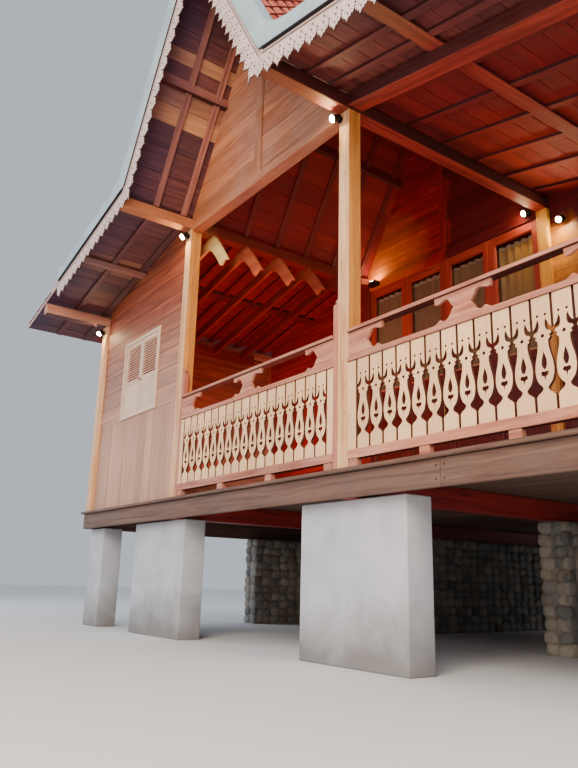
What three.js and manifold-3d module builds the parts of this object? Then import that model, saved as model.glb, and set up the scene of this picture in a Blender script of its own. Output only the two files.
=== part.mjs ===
// A raised timber veranda house: steep gable roof over the middle bay, low skirt roofs over the side bays.
// Millimetres, +Z up. The house is centred on the origin, the front faces -Y and the ground is z = 0.
import * as THREE from "three";
import { mergeVertices } from "three/addons/utils/BufferGeometryUtils.js";
import Module from "manifold-3d";

const wasm = await Module();
wasm.setup();

// Driving dimensions of the frame
const POST = 130;
const MIDDLE_BAY = 2770;
const SIDE_BAY = 2390;
const DEPTH_BAY = 2720;
const BAYS_DEEP = 3;
const FLOOR = 1400;
const SEAT_GAP = 0.3;

// Floor
const DECK_THICK = 35;
const LEDGE_OUT = 45;
const EDGE_DROP = 217;
const EDGE_THICK = 40;
const EDGE_PROUD = 10;

// Beams, as heights over the floor
const PLATE_BOTTOM = 3065;
const PLATE_DEEP = 112;
const FRONT_TIE = [3040, 3140];
const INNER_TIE = [3000, 3120];
const SKIRT_BEAM = { under: 156, wide: 161 };

// Roof: its underside runs through the kink over the middle posts
const KINK_HEIGHT = 3260;
const STEEP = 1.7084;
const SKIRT = 0.2194;
const EAVE = 4590;
const ROOF_THICK = 95;
const RAFTER = { wide: 70, deep: 30, pitch: 460, first: 270 };
const SKIRT_PURLIN_DEEP = 38;
const OUTER_PLATE_DROP = 195;
const OVERHANG = 870;
const COPING_HIGH = 60;
const COPING_WIDE = 150;
const COPING_LIP = 45;
const LACE_END = 3325;

// Walls, windows and balustrades
const WALL_THICK = 40;
const WINDOW = { wide: 1000, sill: 1090, head: 2100, frontX: -2550 };
const RAIL = { top: 1075, under: 1046, midTop: 846, midUnder: 810, foot: 130, footUnder: 60 };
const BOARD_PITCH = 140;

// Masonry base
const PIER_WIDE = 1190;
const MIDDLE_PIER_X = { left: 1845, right: 1350 };
const PIER_DEEP = 250;
const CORNER_PIER_WIDE = 450;
const CORNER_PIER_DEEP = 250;
const PIER_SET_BACK = 100;
const BASE_WALL_THICK = 300;
const BASE_WALL_START = 2500;

// Worked out from the driving dimensions
const HALF = POST / 2;
const MIDDLE_X = MIDDLE_BAY / 2;
const OUTER_X = MIDDLE_X + SIDE_BAY;
const DEPTH = DEPTH_BAY * BAYS_DEEP + POST;
const FRONT = -DEPTH / 2;
const STEEP_COS = 1 / Math.hypot(1, STEEP);
const SKIRT_COS = 1 / Math.hypot(1, SKIRT);

const colours = {
  timber: [0xa8663c, 0.7],
  palePost: [0xc9a184, 0.75],
  darkTimber: [0x6b2f20, 0.7],
  soffit: [0x7a4438, 0.75],
  render: [0xc9cbd0, 0.9],
  stone: [0x8d8b86, 0.95],
  tile: [0xc4604a, 0.85],
  cement: [0xb4c0c8, 0.85],
  lace: [0xd9c2ba, 0.8],
  glass: [0xb8c4c4, 0.1],
  curtain: [0xd8c6a4, 0.95],
};

const house = new THREE.Group();

function material(finish) {
  const [colour, roughness] = colours[finish];
  return new THREE.MeshStandardMaterial({ color: colour, roughness, metalness: 0 });
}

function add(name, finish, geometry) {
  const mesh = new THREE.Mesh(geometry, material(finish));
  mesh.name = name;
  mesh.position.set(0, FRONT, FLOOR);
  house.add(mesh);
  return mesh;
}

// A block from its limits: x from the middle, y back from the posts' front face, z over the floor.
function block(x, y, z) {
  const geometry = new THREE.BoxGeometry(x[1] - x[0], y[1] - y[0], z[1] - z[0]);
  return geometry.translate((x[0] + x[1]) / 2, (y[0] + y[1]) / 2, (z[0] + z[1]) / 2);
}

function outline(points) {
  return points.map(([a, b]) => new THREE.Vector2(a, b));
}

// Extrudes an outline in x and z from y[0] to y[1].
function across(points, y, holes = []) {
  const shape = new THREE.Shape(outline(points));
  holes.forEach((hole) => shape.holes.push(new THREE.Path(outline(hole))));
  const geometry = new THREE.ExtrudeGeometry(shape, { depth: y[1] - y[0], bevelEnabled: false });
  return geometry.rotateX(Math.PI / 2).translate(0, y[1], 0);
}

// Extrudes an outline in y and z from x[0] to x[1].
function along(points, x, holes = []) {
  const shape = new THREE.Shape(outline(points));
  holes.forEach((hole) => shape.holes.push(new THREE.Path(outline(hole))));
  const geometry = new THREE.ExtrudeGeometry(shape, { depth: x[1] - x[0], bevelEnabled: false });
  const turn = new THREE.Matrix4().makeBasis(
    new THREE.Vector3(0, 1, 0),
    new THREE.Vector3(0, 0, 1),
    new THREE.Vector3(1, 0, 0),
  );
  return geometry.applyMatrix4(turn).translate(x[0], 0, 0);
}

function rectangle(a, b) {
  return [[a[0], b[0]], [a[1], b[0]], [a[1], b[1]], [a[0], b[1]]];
}

function toSolid(geometry) {
  const plain = geometry.clone();
  plain.deleteAttribute("normal");
  plain.deleteAttribute("uv");
  const merged = mergeVertices(plain, 1e-3);
  const mesh = new wasm.Mesh({
    numProp: 3,
    vertProperties: new Float32Array(merged.attributes.position.array),
    triVerts: new Uint32Array(merged.index.array),
  });
  return new wasm.Manifold(mesh);
}

function toGeometry(solid) {
  const mesh = solid.getMesh();
  const geometry = new THREE.BufferGeometry();
  geometry.setAttribute("position", new THREE.BufferAttribute(new Float32Array(mesh.vertProperties), 3));
  geometry.setIndex(new THREE.BufferAttribute(new Uint32Array(mesh.triVerts), 1));
  geometry.computeVertexNormals();
  return geometry;
}

function fuse(pieces, cuts = []) {
  let solid = toSolid(pieces[0]);
  pieces.slice(1).forEach((piece) => {
    solid = solid.add(toSolid(piece));
  });
  cuts.forEach((cut) => {
    solid = solid.subtract(toSolid(cut));
  });
  return toGeometry(solid);
}

function grown(x, y, z, by = SEAT_GAP) {
  return block([x[0] - by, x[1] + by], [y[0] - by, y[1] + by], [z[0] - by, z[1] + by]);
}

function mirrored(limits, side) {
  return side > 0 ? limits : [-limits[1], -limits[0]];
}

// Height of the roof's underside over the floor.
function soffit(x) {
  const run = MIDDLE_X - Math.abs(x);
  return KINK_HEIGHT + run * (run > 0 ? STEEP : SKIRT);
}

const sides = [["left", -1], ["right", 1]];
const outerPlateBottom = soffit(OUTER_X) - OUTER_PLATE_DROP;
const middlePost = [MIDDLE_X - HALF, MIDDLE_X + HALF];
const outerPost = [OUTER_X - HALF, OUTER_X + HALF];
const frontPostY = [0, POST];
const innerPostY = [DEPTH_BAY, DEPTH_BAY + POST];
const rearPostY = [DEPTH - POST, DEPTH];
const plateEndY = OVERHANG - 2 * 17.5 - SEAT_GAP;
const plateY = [-plateEndY, DEPTH + plateEndY];
const middlePlateZ = [PLATE_BOTTOM, PLATE_BOTTOM + PLATE_DEEP];
const outerPlateZ = [outerPlateBottom, outerPlateBottom + PLATE_DEEP];

// Masonry base
function buildBase() {
  const z = [-FLOOR, -EDGE_DROP];
  const beamFace = OUTER_X + HALF + EDGE_PROUD;
  for (const [side, sign] of sides) {
    const corner = mirrored([beamFace - CORNER_PIER_WIDE, beamFace], sign);
    const centre = MIDDLE_PIER_X[side];
    const middle = mirrored([centre - PIER_WIDE / 2, centre + PIER_WIDE / 2], sign);
    const cornerY = [PIER_SET_BACK, PIER_SET_BACK + CORNER_PIER_DEEP];
    const middleY = [PIER_SET_BACK, PIER_SET_BACK + PIER_DEEP];
    add(`${side}_corner_pier`, "render", block(corner, cornerY, z));
    add(`${side}_middle_pier`, "render", block(middle, middleY, z));
    const wallY = [BASE_WALL_START, DEPTH - PIER_SET_BACK];
    const outer = mirrored([beamFace - BASE_WALL_THICK, beamFace], sign);
    const inner = mirrored([MIDDLE_X - BASE_WALL_THICK / 2, MIDDLE_X + BASE_WALL_THICK / 2], sign);
    add(`${side}_base_wall`, "stone", block(outer, wallY, z));
    add(`${side}_middle_base_wall`, "stone", block(inner, wallY, z));
  }
}

// Deck, edge boards and floor beams
function buildFloor() {
  const reach = OUTER_X + HALF;
  const edgeX = [-reach - EDGE_PROUD, reach + EDGE_PROUD];
  const beamZ = [-EDGE_DROP, -DECK_THICK];
  const beamY = [EDGE_THICK - EDGE_PROUD, DEPTH - EDGE_THICK + EDGE_PROUD];
  const deckX = [-reach - LEDGE_OUT, reach + LEDGE_OUT];
  add("floor_deck", "timber", block(deckX, [-LEDGE_OUT, DEPTH + LEDGE_OUT], [-DECK_THICK, 0]));
  add("front_edge_board", "palePost", block(edgeX, [-EDGE_PROUD, EDGE_THICK - EDGE_PROUD], beamZ));
  const rearY = [DEPTH - EDGE_THICK + EDGE_PROUD, DEPTH + EDGE_PROUD];
  add("rear_edge_board", "palePost", block(edgeX, rearY, beamZ));
  for (const [side, sign] of sides) {
    const outer = mirrored([reach + EDGE_PROUD - POST, reach + EDGE_PROUD], sign);
    add(`${side}_floor_beam`, "palePost", block(outer, beamY, beamZ));
    add(`${side}_middle_floor_beam`, "darkTimber", block(mirrored(middlePost, sign), beamY, beamZ));
  }
}

function buildPosts() {
  for (const [side, sign] of sides) {
    add(`${side}_corner_post`, "palePost", block(mirrored(outerPost, sign), frontPostY, [0, outerPlateBottom]));
    add(`${side}_front_post`, "palePost", block(mirrored(middlePost, sign), frontPostY, [0, PLATE_BOTTOM]));
    add(`${side}_inner_post`, "timber", block(mirrored(middlePost, sign), innerPostY, [0, PLATE_BOTTOM]));
  }
}

// Purlins, shared by the roof that carries them and the walls that they pass through
const steepPurlinX = [700, 765];
const steepPurlinZ = [4310, soffit(700) + 20];
const skirtPurlinX = { left: [2595, 2740], right: [2385, 2530] };

// A strip under the skirt's boards, and the shape that is cut for it where it is grown
function skirtPurlin(side, over = 15, by = 0) {
  const [from, to] = [skirtPurlinX[side][0] - by, skirtPurlinX[side][1] + by];
  const low = SKIRT_PURLIN_DEEP + by / SKIRT_COS;
  const points = [
    [from, soffit(from) - low],
    [to, soffit(to) - low],
    [to, soffit(to) + over],
    [from, soffit(from) + over],
  ];
  return side === "right" ? points : points.map(([x, z]) => [-x, z]).reverse();
}

function skirtPurlinCut(side, y) {
  return across(skirtPurlin(side, 200, SEAT_GAP), [y[0] - SEAT_GAP, y[1] + SEAT_GAP]);
}

// A plate with a narrow runner on its outer half, up to the skirt's rafters
function runnerX(post) {
  return [post[0] + HALF, post[0] + HALF + 40];
}

function plate(post, side, z) {
  const runner = runnerX(post);
  const top = soffit(runner[1]) - RAFTER.deep - SEAT_GAP;
  return fuse([block(mirrored(post, side), plateY, z), block(mirrored(runner, side), plateY, [z[1] - 1, top])]);
}

// Four plates run the length of the house, and the ties cross the middle bay between them.
function buildBeams() {
  for (const [side, sign] of sides) {
    add(`${side}_outer_plate`, "palePost", plate(outerPost, sign, outerPlateZ));
    add(`${side}_middle_plate`, "timber", plate(middlePost, sign, middlePlateZ));
  }
  const tieX = [-middlePost[0], middlePost[0]];
  add("front_tie_beam", "palePost", block(tieX, frontPostY, FRONT_TIE));
  add("inner_tie_beam", "darkTimber", block(tieX, innerPostY, INNER_TIE));
  const [from, to] = [middlePost[1], outerPost[0]];
  const top = (x) => soffit(x) - RAFTER.deep - SEAT_GAP;
  const points = [
    [from, soffit(from) - SKIRT_BEAM.under],
    [to, soffit(to) - SKIRT_BEAM.under],
    [to, top(to)],
    [from, top(from)],
  ];
  const beamY = [HALF - SKIRT_BEAM.wide / 2, HALF + SKIRT_BEAM.wide / 2];
  add("front_right_beam", "timber", fuse([across(points, beamY)], [skirtPurlinCut("right", beamY)]));
}

// Five rafters with hooked ends under the left middle plate, on one ledger along the left wall
function buildHookedRafters() {
  const ledgerX = [-outerPost[0], -outerPost[0] + 60];
  const elbow = PLATE_BOTTOM - SEAT_GAP;
  const thick = 125;
  const start = ledgerX[0] + 30;
  const rise = (x) => elbow + (x + middlePost[1]) * SKIRT;
  const points = [
    [start, rise(start) - thick],
    [-1480, rise(-1480) - thick],
    [-1410, 2912],
    [-1346, 2872],
    [-1238, 2752],
    [-1142, 2628],
    [-1060, 2680],
    [-1030, 2660],
    [-992, 2657],
    [-1064, 2752],
    [-1170, 2892],
    [-1255, 3000],
    [-1300, 3045],
    [-middlePost[0], elbow],
    [-middlePost[1], elbow],
    [start, rise(start)],
  ];
  const pieces = [block(ledgerX, [180, 2400], [rise(start) - thick, rise(start)])];
  for (let n = 0; n < 5; n += 1) {
    const y = 290 + 460 * n;
    pieces.push(across(points, [y, y + 35]));
  }
  add("hooked_rafters", "timber", fuse(pieces));
}

// Roof slopes: deck and tile bed in one slab, with its rafters and its purlin under it
const kinkTopX = MIDDLE_X + ROOF_THICK * ((1 / STEEP_COS - 1 / SKIRT_COS) / (STEEP - SKIRT));

function roofTop(x, over = ROOF_THICK) {
  return KINK_HEIGHT + (MIDDLE_X - Math.abs(x)) * STEEP + over / STEEP_COS;
}

function skirtTop(x, over = ROOF_THICK) {
  return KINK_HEIGHT + (MIDDLE_X - Math.abs(x)) * SKIRT + over / SKIRT_COS;
}

// The steep slope's purlin, whose top is bedded into the slab
function steepPurlin() {
  const [from, to] = steepPurlinX;
  const low = steepPurlinZ[0];
  return [[from, low], [to, low], [to, soffit(to) + 15], [from, soffit(from) + 15]];
}

// Front edges of the rafters: two in the overhang, one every 460 mm over the porch and one over the rooms
const porchRafters = [0, 1, 2, 3, 4, 5].map((n) => RAFTER.first + RAFTER.pitch * n);
const rafterY = {
  steep: [-470, -120, ...porchRafters, 3490],
  left: [-435, -55, ...porchRafters, 3490],
  right: [-435, -190, ...porchRafters, 3490],
};

function bothEnds(fronts) {
  const ahead = fronts.map((y) => [y, y + RAFTER.wide]);
  return [...ahead, ...ahead.map(([from, to]) => [DEPTH - to, DEPTH - from])];
}

function buildRoof() {
  const slabY = [-(OVERHANG - COPING_LIP - SEAT_GAP), DEPTH + OVERHANG - COPING_LIP - SEAT_GAP];
  const half = SEAT_GAP / 2;
  for (const [side, sign] of sides) {
    const at = (points) => {
      const list = points.map(([x, z]) => [sign * x, z]);
      return sign > 0 ? list : list.reverse();
    };
    const plates = [
      grown(mirrored(middlePost, sign), plateY, middlePlateZ),
      grown(mirrored(outerPost, sign), plateY, outerPlateZ),
    ];
    const steepSlab = at([
      [MIDDLE_X, KINK_HEIGHT],
      [kinkTopX, skirtTop(kinkTopX)],
      [half, roofTop(half)],
      [half, soffit(half)],
    ]);
    const deep = RAFTER.deep / STEEP_COS;
    const steepRafter = at([
      [MIDDLE_X - 4, soffit(MIDDLE_X - 4) + 12],
      [half + 5, soffit(half + 5) + 12],
      [half + 5, soffit(half + 5) - deep],
      [MIDDLE_X - 4, soffit(MIDDLE_X - 4) - deep],
    ]);
    const steepPieces = [across(steepSlab, slabY)];
    bothEnds(rafterY.steep).forEach((y) => steepPieces.push(across(steepRafter, y)));
    steepPieces.push(across(at(steepPurlin()), slabY));
    add(`${side}_steep_roof`, "tile", fuse(steepPieces, plates));

    const eaveEdge = EAVE - ROOF_THICK * 0.2;
    const skirtSlab = at([
      [MIDDLE_X + SEAT_GAP, soffit(MIDDLE_X + SEAT_GAP)],
      [eaveEdge, soffit(eaveEdge)],
      [EAVE, skirtTop(EAVE)],
      [kinkTopX + SEAT_GAP, skirtTop(kinkTopX + SEAT_GAP)],
    ]);
    const rafterEnd = EAVE - 60;
    const rafterStart = MIDDLE_X + 12;
    const skirtRafter = at([
      [rafterStart, soffit(rafterStart) - RAFTER.deep],
      [rafterEnd, soffit(rafterEnd) - RAFTER.deep],
      [rafterEnd, soffit(rafterEnd) + 12],
      [rafterStart, soffit(rafterStart) + 12],
    ]);
    const skirtPieces = [across(skirtSlab, slabY)];
    bothEnds(rafterY[side]).forEach((y) => skirtPieces.push(across(skirtRafter, y)));
    skirtPieces.push(across(skirtPurlin(side), slabY));
    add(`${side}_skirt_roof`, "tile", fuse(skirtPieces, plates));
  }
}

// The line of one half of the gable, from the end of the skirt to the ridge, offset out of the roof's underside
function gableLine(end, over) {
  const kink = MIDDLE_X + over * ((1 / STEEP_COS - 1 / SKIRT_COS) / (STEEP - SKIRT));
  return [
    [end, skirtTop(end, over)],
    [kink, skirtTop(kink, over)],
    [0, roofTop(0, over)],
  ];
}

function gableBand(end, low, high) {
  const lower = gableLine(end, low);
  const upper = gableLine(end, high);
  const flip = ([x, z]) => [-x, z];
  return [
    ...lower.slice(0, 2).map(flip),
    lower[2],
    ...lower.slice(0, 2).reverse(),
    ...upper.slice(0, 2),
    upper[2],
    ...upper.slice(0, 2).reverse().map(flip),
  ];
}

function frontOrRear(y, rear) {
  return rear ? [DEPTH - y[1], DEPTH - y[0]] : y;
}

function buildCopings() {
  const top = ROOF_THICK + COPING_HIGH;
  for (const [end, rear] of [["front", false], ["rear", true]]) {
    const lipY = frontOrRear([-OVERHANG, -(OVERHANG - COPING_LIP)], rear);
    const capY = frontOrRear([-OVERHANG, -(OVERHANG - COPING_WIDE)], rear);
    const lip = across(gableBand(LACE_END, SEAT_GAP, top), lipY);
    const cap = across(gableBand(LACE_END, ROOF_THICK + SEAT_GAP, top), capY);
    add(`${end}_coping`, "cement", fuse([lip, cap]));
  }
  const low = ROOF_THICK + SEAT_GAP;
  const half = 130;
  const ridge = [
    [-half, roofTop(half, low)],
    [0, roofTop(0, low)],
    [half, roofTop(half, low)],
    [half, roofTop(half, low) + 70],
    [55, roofTop(0, top)],
    [-55, roofTop(0, top)],
    [-half, roofTop(half, low) + 70],
  ];
  const inset = OVERHANG - COPING_WIDE - SEAT_GAP;
  add("ridge_cap", "cement", across(ridge, [-inset, DEPTH + inset]));
}

// Verge boards: a thin board under each coping, with hanging pointed leaves from the ridge to near the eave
function vergeOutline(sign) {
  const board = 72;
  const leafTop = 150;
  const leafTip = 262;
  const pitch = 140;
  const bend = (over) => MIDDLE_X + over * ((1 / STEEP_COS - 1 / SKIRT_COS) / (STEEP - SKIRT));
  const onSkirt = (x, under) => [x, skirtTop(x, -under)];
  const onSteep = (x, under) => [x, roofTop(x, -under)];
  const points = [onSteep(0, SEAT_GAP), onSkirt(bend(-SEAT_GAP), SEAT_GAP), onSkirt(EAVE - 30, SEAT_GAP)];
  points.push(onSkirt(EAVE - 30, board));
  points.push(onSkirt(LACE_END, board));
  const skirtLeaves = Math.round((LACE_END - bend(-leafTip)) * (1 / SKIRT_COS) / pitch);
  const skirtStep = (LACE_END - bend(-leafTip)) / skirtLeaves;
  for (let n = 0; n < skirtLeaves; n += 1) {
    const x = LACE_END - n * skirtStep;
    points.push(onSkirt(x, leafTop));
    points.push(onSkirt(x - skirtStep * 0.35, leafTip));
    points.push(onSkirt(x - skirtStep * 0.75, leafTip - 62));
  }
  const steepStart = bend(-leafTip);
  const steepLeaves = Math.round((steepStart / STEEP_COS) / pitch);
  const steepStep = steepStart / steepLeaves;
  for (let n = 0; n < steepLeaves; n += 1) {
    const x = steepStart - n * steepStep;
    points.push(onSteep(x, n === 0 ? leafTip : leafTop));
    points.push(onSteep(x - steepStep * 0.25, leafTip - 50));
    points.push(onSteep(x - steepStep * 0.65, leafTip));
  }
  points.push(onSteep(0, leafTop));
  const list = points.map(([x, z]) => [sign * x, z]);
  return list;
}

function buildVergeBoards() {
  for (const [end, rear] of [["front", false], ["rear", true]]) {
    const y = frontOrRear([-(OVERHANG - 10), -(OVERHANG - 35)], rear);
    const right = vergeOutline(1);
    const left = vergeOutline(-1);
    const whole = [...right, ...left.reverse().slice(1, -1)];
    add(`${end}_verge_board`, "lace", across(whole.reverse(), y));
  }
}

// Plank walls
function slopedWall(from, to) {
  const top = (x) => soffit(x) - SEAT_GAP;
  return [[from, 0], [to, 0], [to, top(to)], [from, top(from)]];
}

function windowHole(middle) {
  const half = WINDOW.wide / 2 + SEAT_GAP;
  return rectangle([middle - half, middle + half], [WINDOW.sill - SEAT_GAP, WINDOW.head + SEAT_GAP]);
}

function wallY(postY) {
  const middle = (postY[0] + postY[1]) / 2;
  return [middle - WALL_THICK / 2, middle + WALL_THICK / 2];
}

const sideWindowY = { left: DEPTH_BAY * 1.5 + HALF, right: DEPTH_BAY * 1.5 + HALF };

function buildWalls() {
  const bay = [middlePost[1], outerPost[0]];
  const frontY = wallY(frontPostY);
  const innerY = wallY(innerPostY);

  const leftFront = across(slopedWall(-bay[1], -bay[0]), frontY, [windowHole(WINDOW.frontX)]);
  add("left_front_wall", "timber", fuse([leftFront], [skirtPurlinCut("left", frontPostY)]));
  const innerLeft = across(slopedWall(-bay[1], -bay[0]), innerY);
  add("left_inner_wall", "darkTimber", fuse([innerLeft], [skirtPurlinCut("left", innerPostY)]));
  const innerRight = across(slopedWall(bay[0], bay[1]), innerY);
  add("right_inner_wall", "darkTimber", fuse([innerRight], [skirtPurlinCut("right", innerPostY)]));

  for (const [side, sign] of sides) {
    const start = sign > 0 ? innerPostY[0] : frontPostY[1];
    const wallX = mirrored([OUTER_X - WALL_THICK / 2, OUTER_X + WALL_THICK / 2], sign);
    const face = rectangle([start, DEPTH], [0, outerPlateBottom]);
    const pieces = [along(face, wallX, [windowHole(sideWindowY[side])])];
    const postX = mirrored(outerPost, sign);
    for (const y of [innerPostY[0], DEPTH_BAY * 2, rearPostY[0]]) {
      pieces.push(block(postX, [y, y + POST], [0, outerPlateBottom]));
    }
    add(`${side}_side_wall`, "timber", fuse(pieces));
  }

  const rearY = wallY(rearPostY);
  const reach = outerPost[0];
  const top = (x) => soffit(x) - SEAT_GAP;
  const rear = [
    [-reach, 0], [reach, 0], [reach, top(reach)], [MIDDLE_X, top(MIDDLE_X)], [0, top(0)],
    [-MIDDLE_X, top(MIDDLE_X)], [-reach, top(reach)],
  ];
  const pieces = [across(rear, rearY, [windowHole(0)])];
  const cuts = [skirtPurlinCut("right", rearPostY), skirtPurlinCut("left", rearPostY)];
  for (const [, sign] of sides) {
    pieces.push(block(mirrored(middlePost, sign), rearPostY, [0, PLATE_BOTTOM]));
    cuts.push(grown(mirrored(middlePost, sign), plateY, middlePlateZ));
    cuts.push(grown(mirrored(runnerX(middlePost), sign), plateY, [middlePlateZ[1], KINK_HEIGHT]));
    cuts.push(grown(mirrored(steepPurlinX, sign), plateY, [steepPurlinZ[0], steepPurlinZ[1] + 300]));
  }
  add("rear_wall", "timber", fuse(pieces, cuts));
}

// Gables over the ties: horizontal boards with a batten up the middle
function buildGables() {
  for (const [name, postY, tie, finish] of [
    ["front_gable", frontPostY, FRONT_TIE, "timber"],
    ["inner_gable", innerPostY, INNER_TIE, "darkTimber"],
  ]) {
    const top = (x) => soffit(x) - SEAT_GAP;
    const foot = middlePost[0];
    const shoulder = middlePlateZ[1] + SEAT_GAP;
    const points = [
      [-foot, tie[1]], [foot, tie[1]], [foot, shoulder], [MIDDLE_X, shoulder], [MIDDLE_X, top(MIDDLE_X)],
      [0, top(0)], [-MIDDLE_X, top(MIDDLE_X)], [-MIDDLE_X, shoulder], [-foot, shoulder],
    ];
    const boards = across(points, [postY[0] + 30, postY[0] + 60]);
    const batten = block([-55, 55], [postY[0] + 8, postY[0] + 31], [tie[1], top(55) - 2]);
    const cuts = sides.map(([, sign]) =>
      grown(mirrored(steepPurlinX, sign), postY, [steepPurlinZ[0], steepPurlinZ[1] + 300]));
    add(name, finish, fuse([boards, batten], cuts));
  }
}

// A closed pair of louvred shutters in its frame, about the middle of the sill
function shutterWindow() {
  const half = WINDOW.wide / 2;
  const high = WINDOW.head - WINDOW.sill;
  const frame = 45;
  const stile = 42;
  const panelTop = 430;
  const pieces = [
    across(rectangle([-half, half], [0, high]), [-35, 35], [rectangle([-half + frame, half - frame], [frame, high - frame])]),
  ];
  const inner = half - frame;
  const topIn = high - frame;
  const leafRails = [[frame, frame + stile], [panelTop, panelTop + stile], [topIn - stile, topIn]];
  for (const sign of [-1, 1]) {
    const outer = mirrored([inner - stile, inner + 2], sign);
    const middle = mirrored([-1, stile], sign);
    pieces.push(block(outer, [-18, 14], [frame - 2, topIn + 2]));
    pieces.push(block(middle, [-18, 14], [frame - 2, topIn + 2]));
    leafRails.forEach((rail) => {
      pieces.push(block(mirrored([stile - 2, inner - stile + 2], sign), [-18, 14], rail));
    });
    pieces.push(block(mirrored([stile - 2, inner - stile + 2], sign), [-8, 6], [frame + stile - 2, panelTop + 2]));
    const slats = 14;
    const from = panelTop + stile;
    const step = (topIn - stile - from) / slats;
    for (let n = 0; n < slats; n += 1) {
      const low = from + n * step + 4;
      const slat = [[-17, low], [-11, low], [13, low + step * 0.8], [7, low + step * 0.8]];
      pieces.push(along(slat, mirrored([stile - 2, inner - stile + 2], sign)));
    }
  }
  return fuse(pieces);
}

function buildWindows() {
  const geometry = shutterWindow();
  const middleY = FRONT + (frontPostY[0] + frontPostY[1]) / 2;
  const z = FLOOR + WINDOW.sill;
  const places = [
    ["front_window", [WINDOW.frontX, middleY], 0],
    ["left_window", [-OUTER_X, FRONT + sideWindowY.left], -Math.PI / 2],
    ["right_window", [OUTER_X, FRONT + sideWindowY.right], Math.PI / 2],
    ["rear_window", [0, -middleY], Math.PI],
  ];
  for (const [name, [x, y], turn] of places) {
    const mesh = add(name, "timber", geometry.clone());
    mesh.position.set(x, y, z);
    mesh.rotation.z = turn;
  }
}

// Folding leaves across the middle bay at the back of the veranda: boarded below, glass and a curtain above
function buildVerandaDoors() {
  const half = middlePost[0] - SEAT_GAP;
  const high = INNER_TIE[0] - SEAT_GAP;
  const leaves = 4;
  const wide = (2 * half) / leaves;
  const stile = 75;
  const panes = [];
  const y = [innerPostY[0] + 25, innerPostY[0] + 70];
  for (let n = 0; n < leaves; n += 1) {
    const from = -half + n * wide;
    panes.push(block([from + stile, from + wide - stile], [y[0] - 5, y[1] + 5], [1570, high - 100]));
  }
  add("veranda_doors", "darkTimber", fuse([block([-half, half], y, [0, high])], panes));
  const glassY = [y[1], y[1] + 6];
  add("veranda_glass", "glass", block([-half + 20, half - 20], glassY, [1510, high - 20]));
  const curtainY = [glassY[1] + SEAT_GAP, glassY[1] + 50];
  add("veranda_curtain", "curtain", block([-half + 10, half - 10], curtainY, [40, high]));
}

// Balustrade panel in x and z: pierced boards between rails, with long cusped openings in the band above them
const BOARD_GAP = [
  [225, 4], [235, 20], [250, 45], [262, 54], [276, 46], [300, 25], [330, 16], [370, 9], [410, 14],
  [450, 24], [490, 34], [530, 36], [562, 27], [579, 16], [598, 23], [604, 4],
];
const BOARD_DROP = [[0, 367], [15, 385], [20, 410], [11, 450], [0, 476]];
const CUSP_FOOT = [[150, 860], [120, 884], [86, 869], [35, 893], [0, 946]];
const CUSP_HEAD = [[55, 1018], [110, 1010], [165, 1002], [170, 1044]];
const CUSP_MARGIN = 210;
const CUSP_SOLID = 140;

function cuspedOpening(a, b) {
  const end = [...CUSP_FOOT, ...CUSP_HEAD];
  const left = end.map(([dx, z]) => [a + dx, z]);
  const right = end.map(([dx, z]) => [b - dx, z]).reverse();
  return [...left, ...right];
}

function balustrade(from, to, firstJoint, openings) {
  const y = [0, 25];
  const holes = openings.map(([a, b]) => cuspedOpening(a, b));
  for (let x = firstJoint; x < to - 30; x += BOARD_PITCH) {
    const right = BOARD_GAP.map(([dz, dx]) => [x + dx, dz]);
    const left = BOARD_GAP.map(([dz, dx]) => [x - dx, dz]).reverse();
    holes.push([...right, ...left]);
    const middle = x + BOARD_PITCH / 2;
    if (middle < to - 60) {
      const half = BOARD_DROP.map(([dx, z]) => [middle + dx, z]);
      const other = BOARD_DROP.slice(1, -1).map(([dx, z]) => [middle - dx, z]).reverse();
      holes.push([...half, ...other]);
    }
  }
  const pieces = [block([from, to], y, [RAIL.footUnder, RAIL.under + 2])];
  const cuts = holes.map((hole) => across(hole, [y[0] - 5, y[1] + 5]));
  pieces.push(block([from, to], [-22, 62], [RAIL.under, RAIL.top]));
  pieces.push(block([from, to], [-14, 46], [RAIL.midUnder, RAIL.midTop]));
  pieces.push(block([from, to], [-10, 50], [RAIL.footUnder, RAIL.foot]));
  const blocks = 4;
  for (let n = 0; n < blocks; n += 1) {
    const x = from + 60 + ((to - from - 120) * n) / (blocks - 1);
    pieces.push(block([x - 45, x + 45], [-6, 46], [0, RAIL.footUnder + 2]));
  }
  return { pieces, cuts };
}

// Two equal openings in a panel
function pairOfOpenings(from, to, margin) {
  const long = (to - from - 2 * margin - CUSP_SOLID) / 2;
  return [[from + margin, from + margin + long], [to - margin - long, to - margin]];
}

function buildBalustrades() {
  const newel = 50;
  const middle = middlePost[0];
  const newelPieces = sides.map(([, sign]) => block(mirrored([middle - newel, middle], sign), [-5, 55], [0, 1330]));
  const caps = sides.map(([, sign]) => {
    const cap = new THREE.CylinderGeometry(18, 24, 50, 12);
    return cap.rotateX(Math.PI / 2).translate(sign * (middle - newel / 2), 25, 1354);
  });
  const [low, high] = [-middle + newel - 2, middle - newel + 2];
  const centre = balustrade(low, high, low + 80, pairOfOpenings(low, high, CUSP_MARGIN));
  add("middle_balustrade", "palePost", fuse([...centre.pieces, ...newelPieces, ...caps], centre.cuts));
  const start = middlePost[1] + CUSP_MARGIN;
  const rightOpenings = [0, 1].map((n) => [start + n * (850 + CUSP_SOLID), start + n * (850 + CUSP_SOLID) + 850]);
  const right = balustrade(middlePost[1], outerPost[0], middlePost[1] + 100, rightOpenings);
  add("right_balustrade", "palePost", fuse(right.pieces, right.cuts));
  const span = innerPostY[0] - POST;
  const side = balustrade(0, span, 100, pairOfOpenings(0, span, CUSP_MARGIN));
  const mesh = add("right_side_balustrade", "palePost", fuse(side.pieces, side.cuts));
  mesh.position.set(OUTER_X + HALF, FRONT + POST, FLOOR);
  mesh.rotation.z = Math.PI / 2;
}

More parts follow.
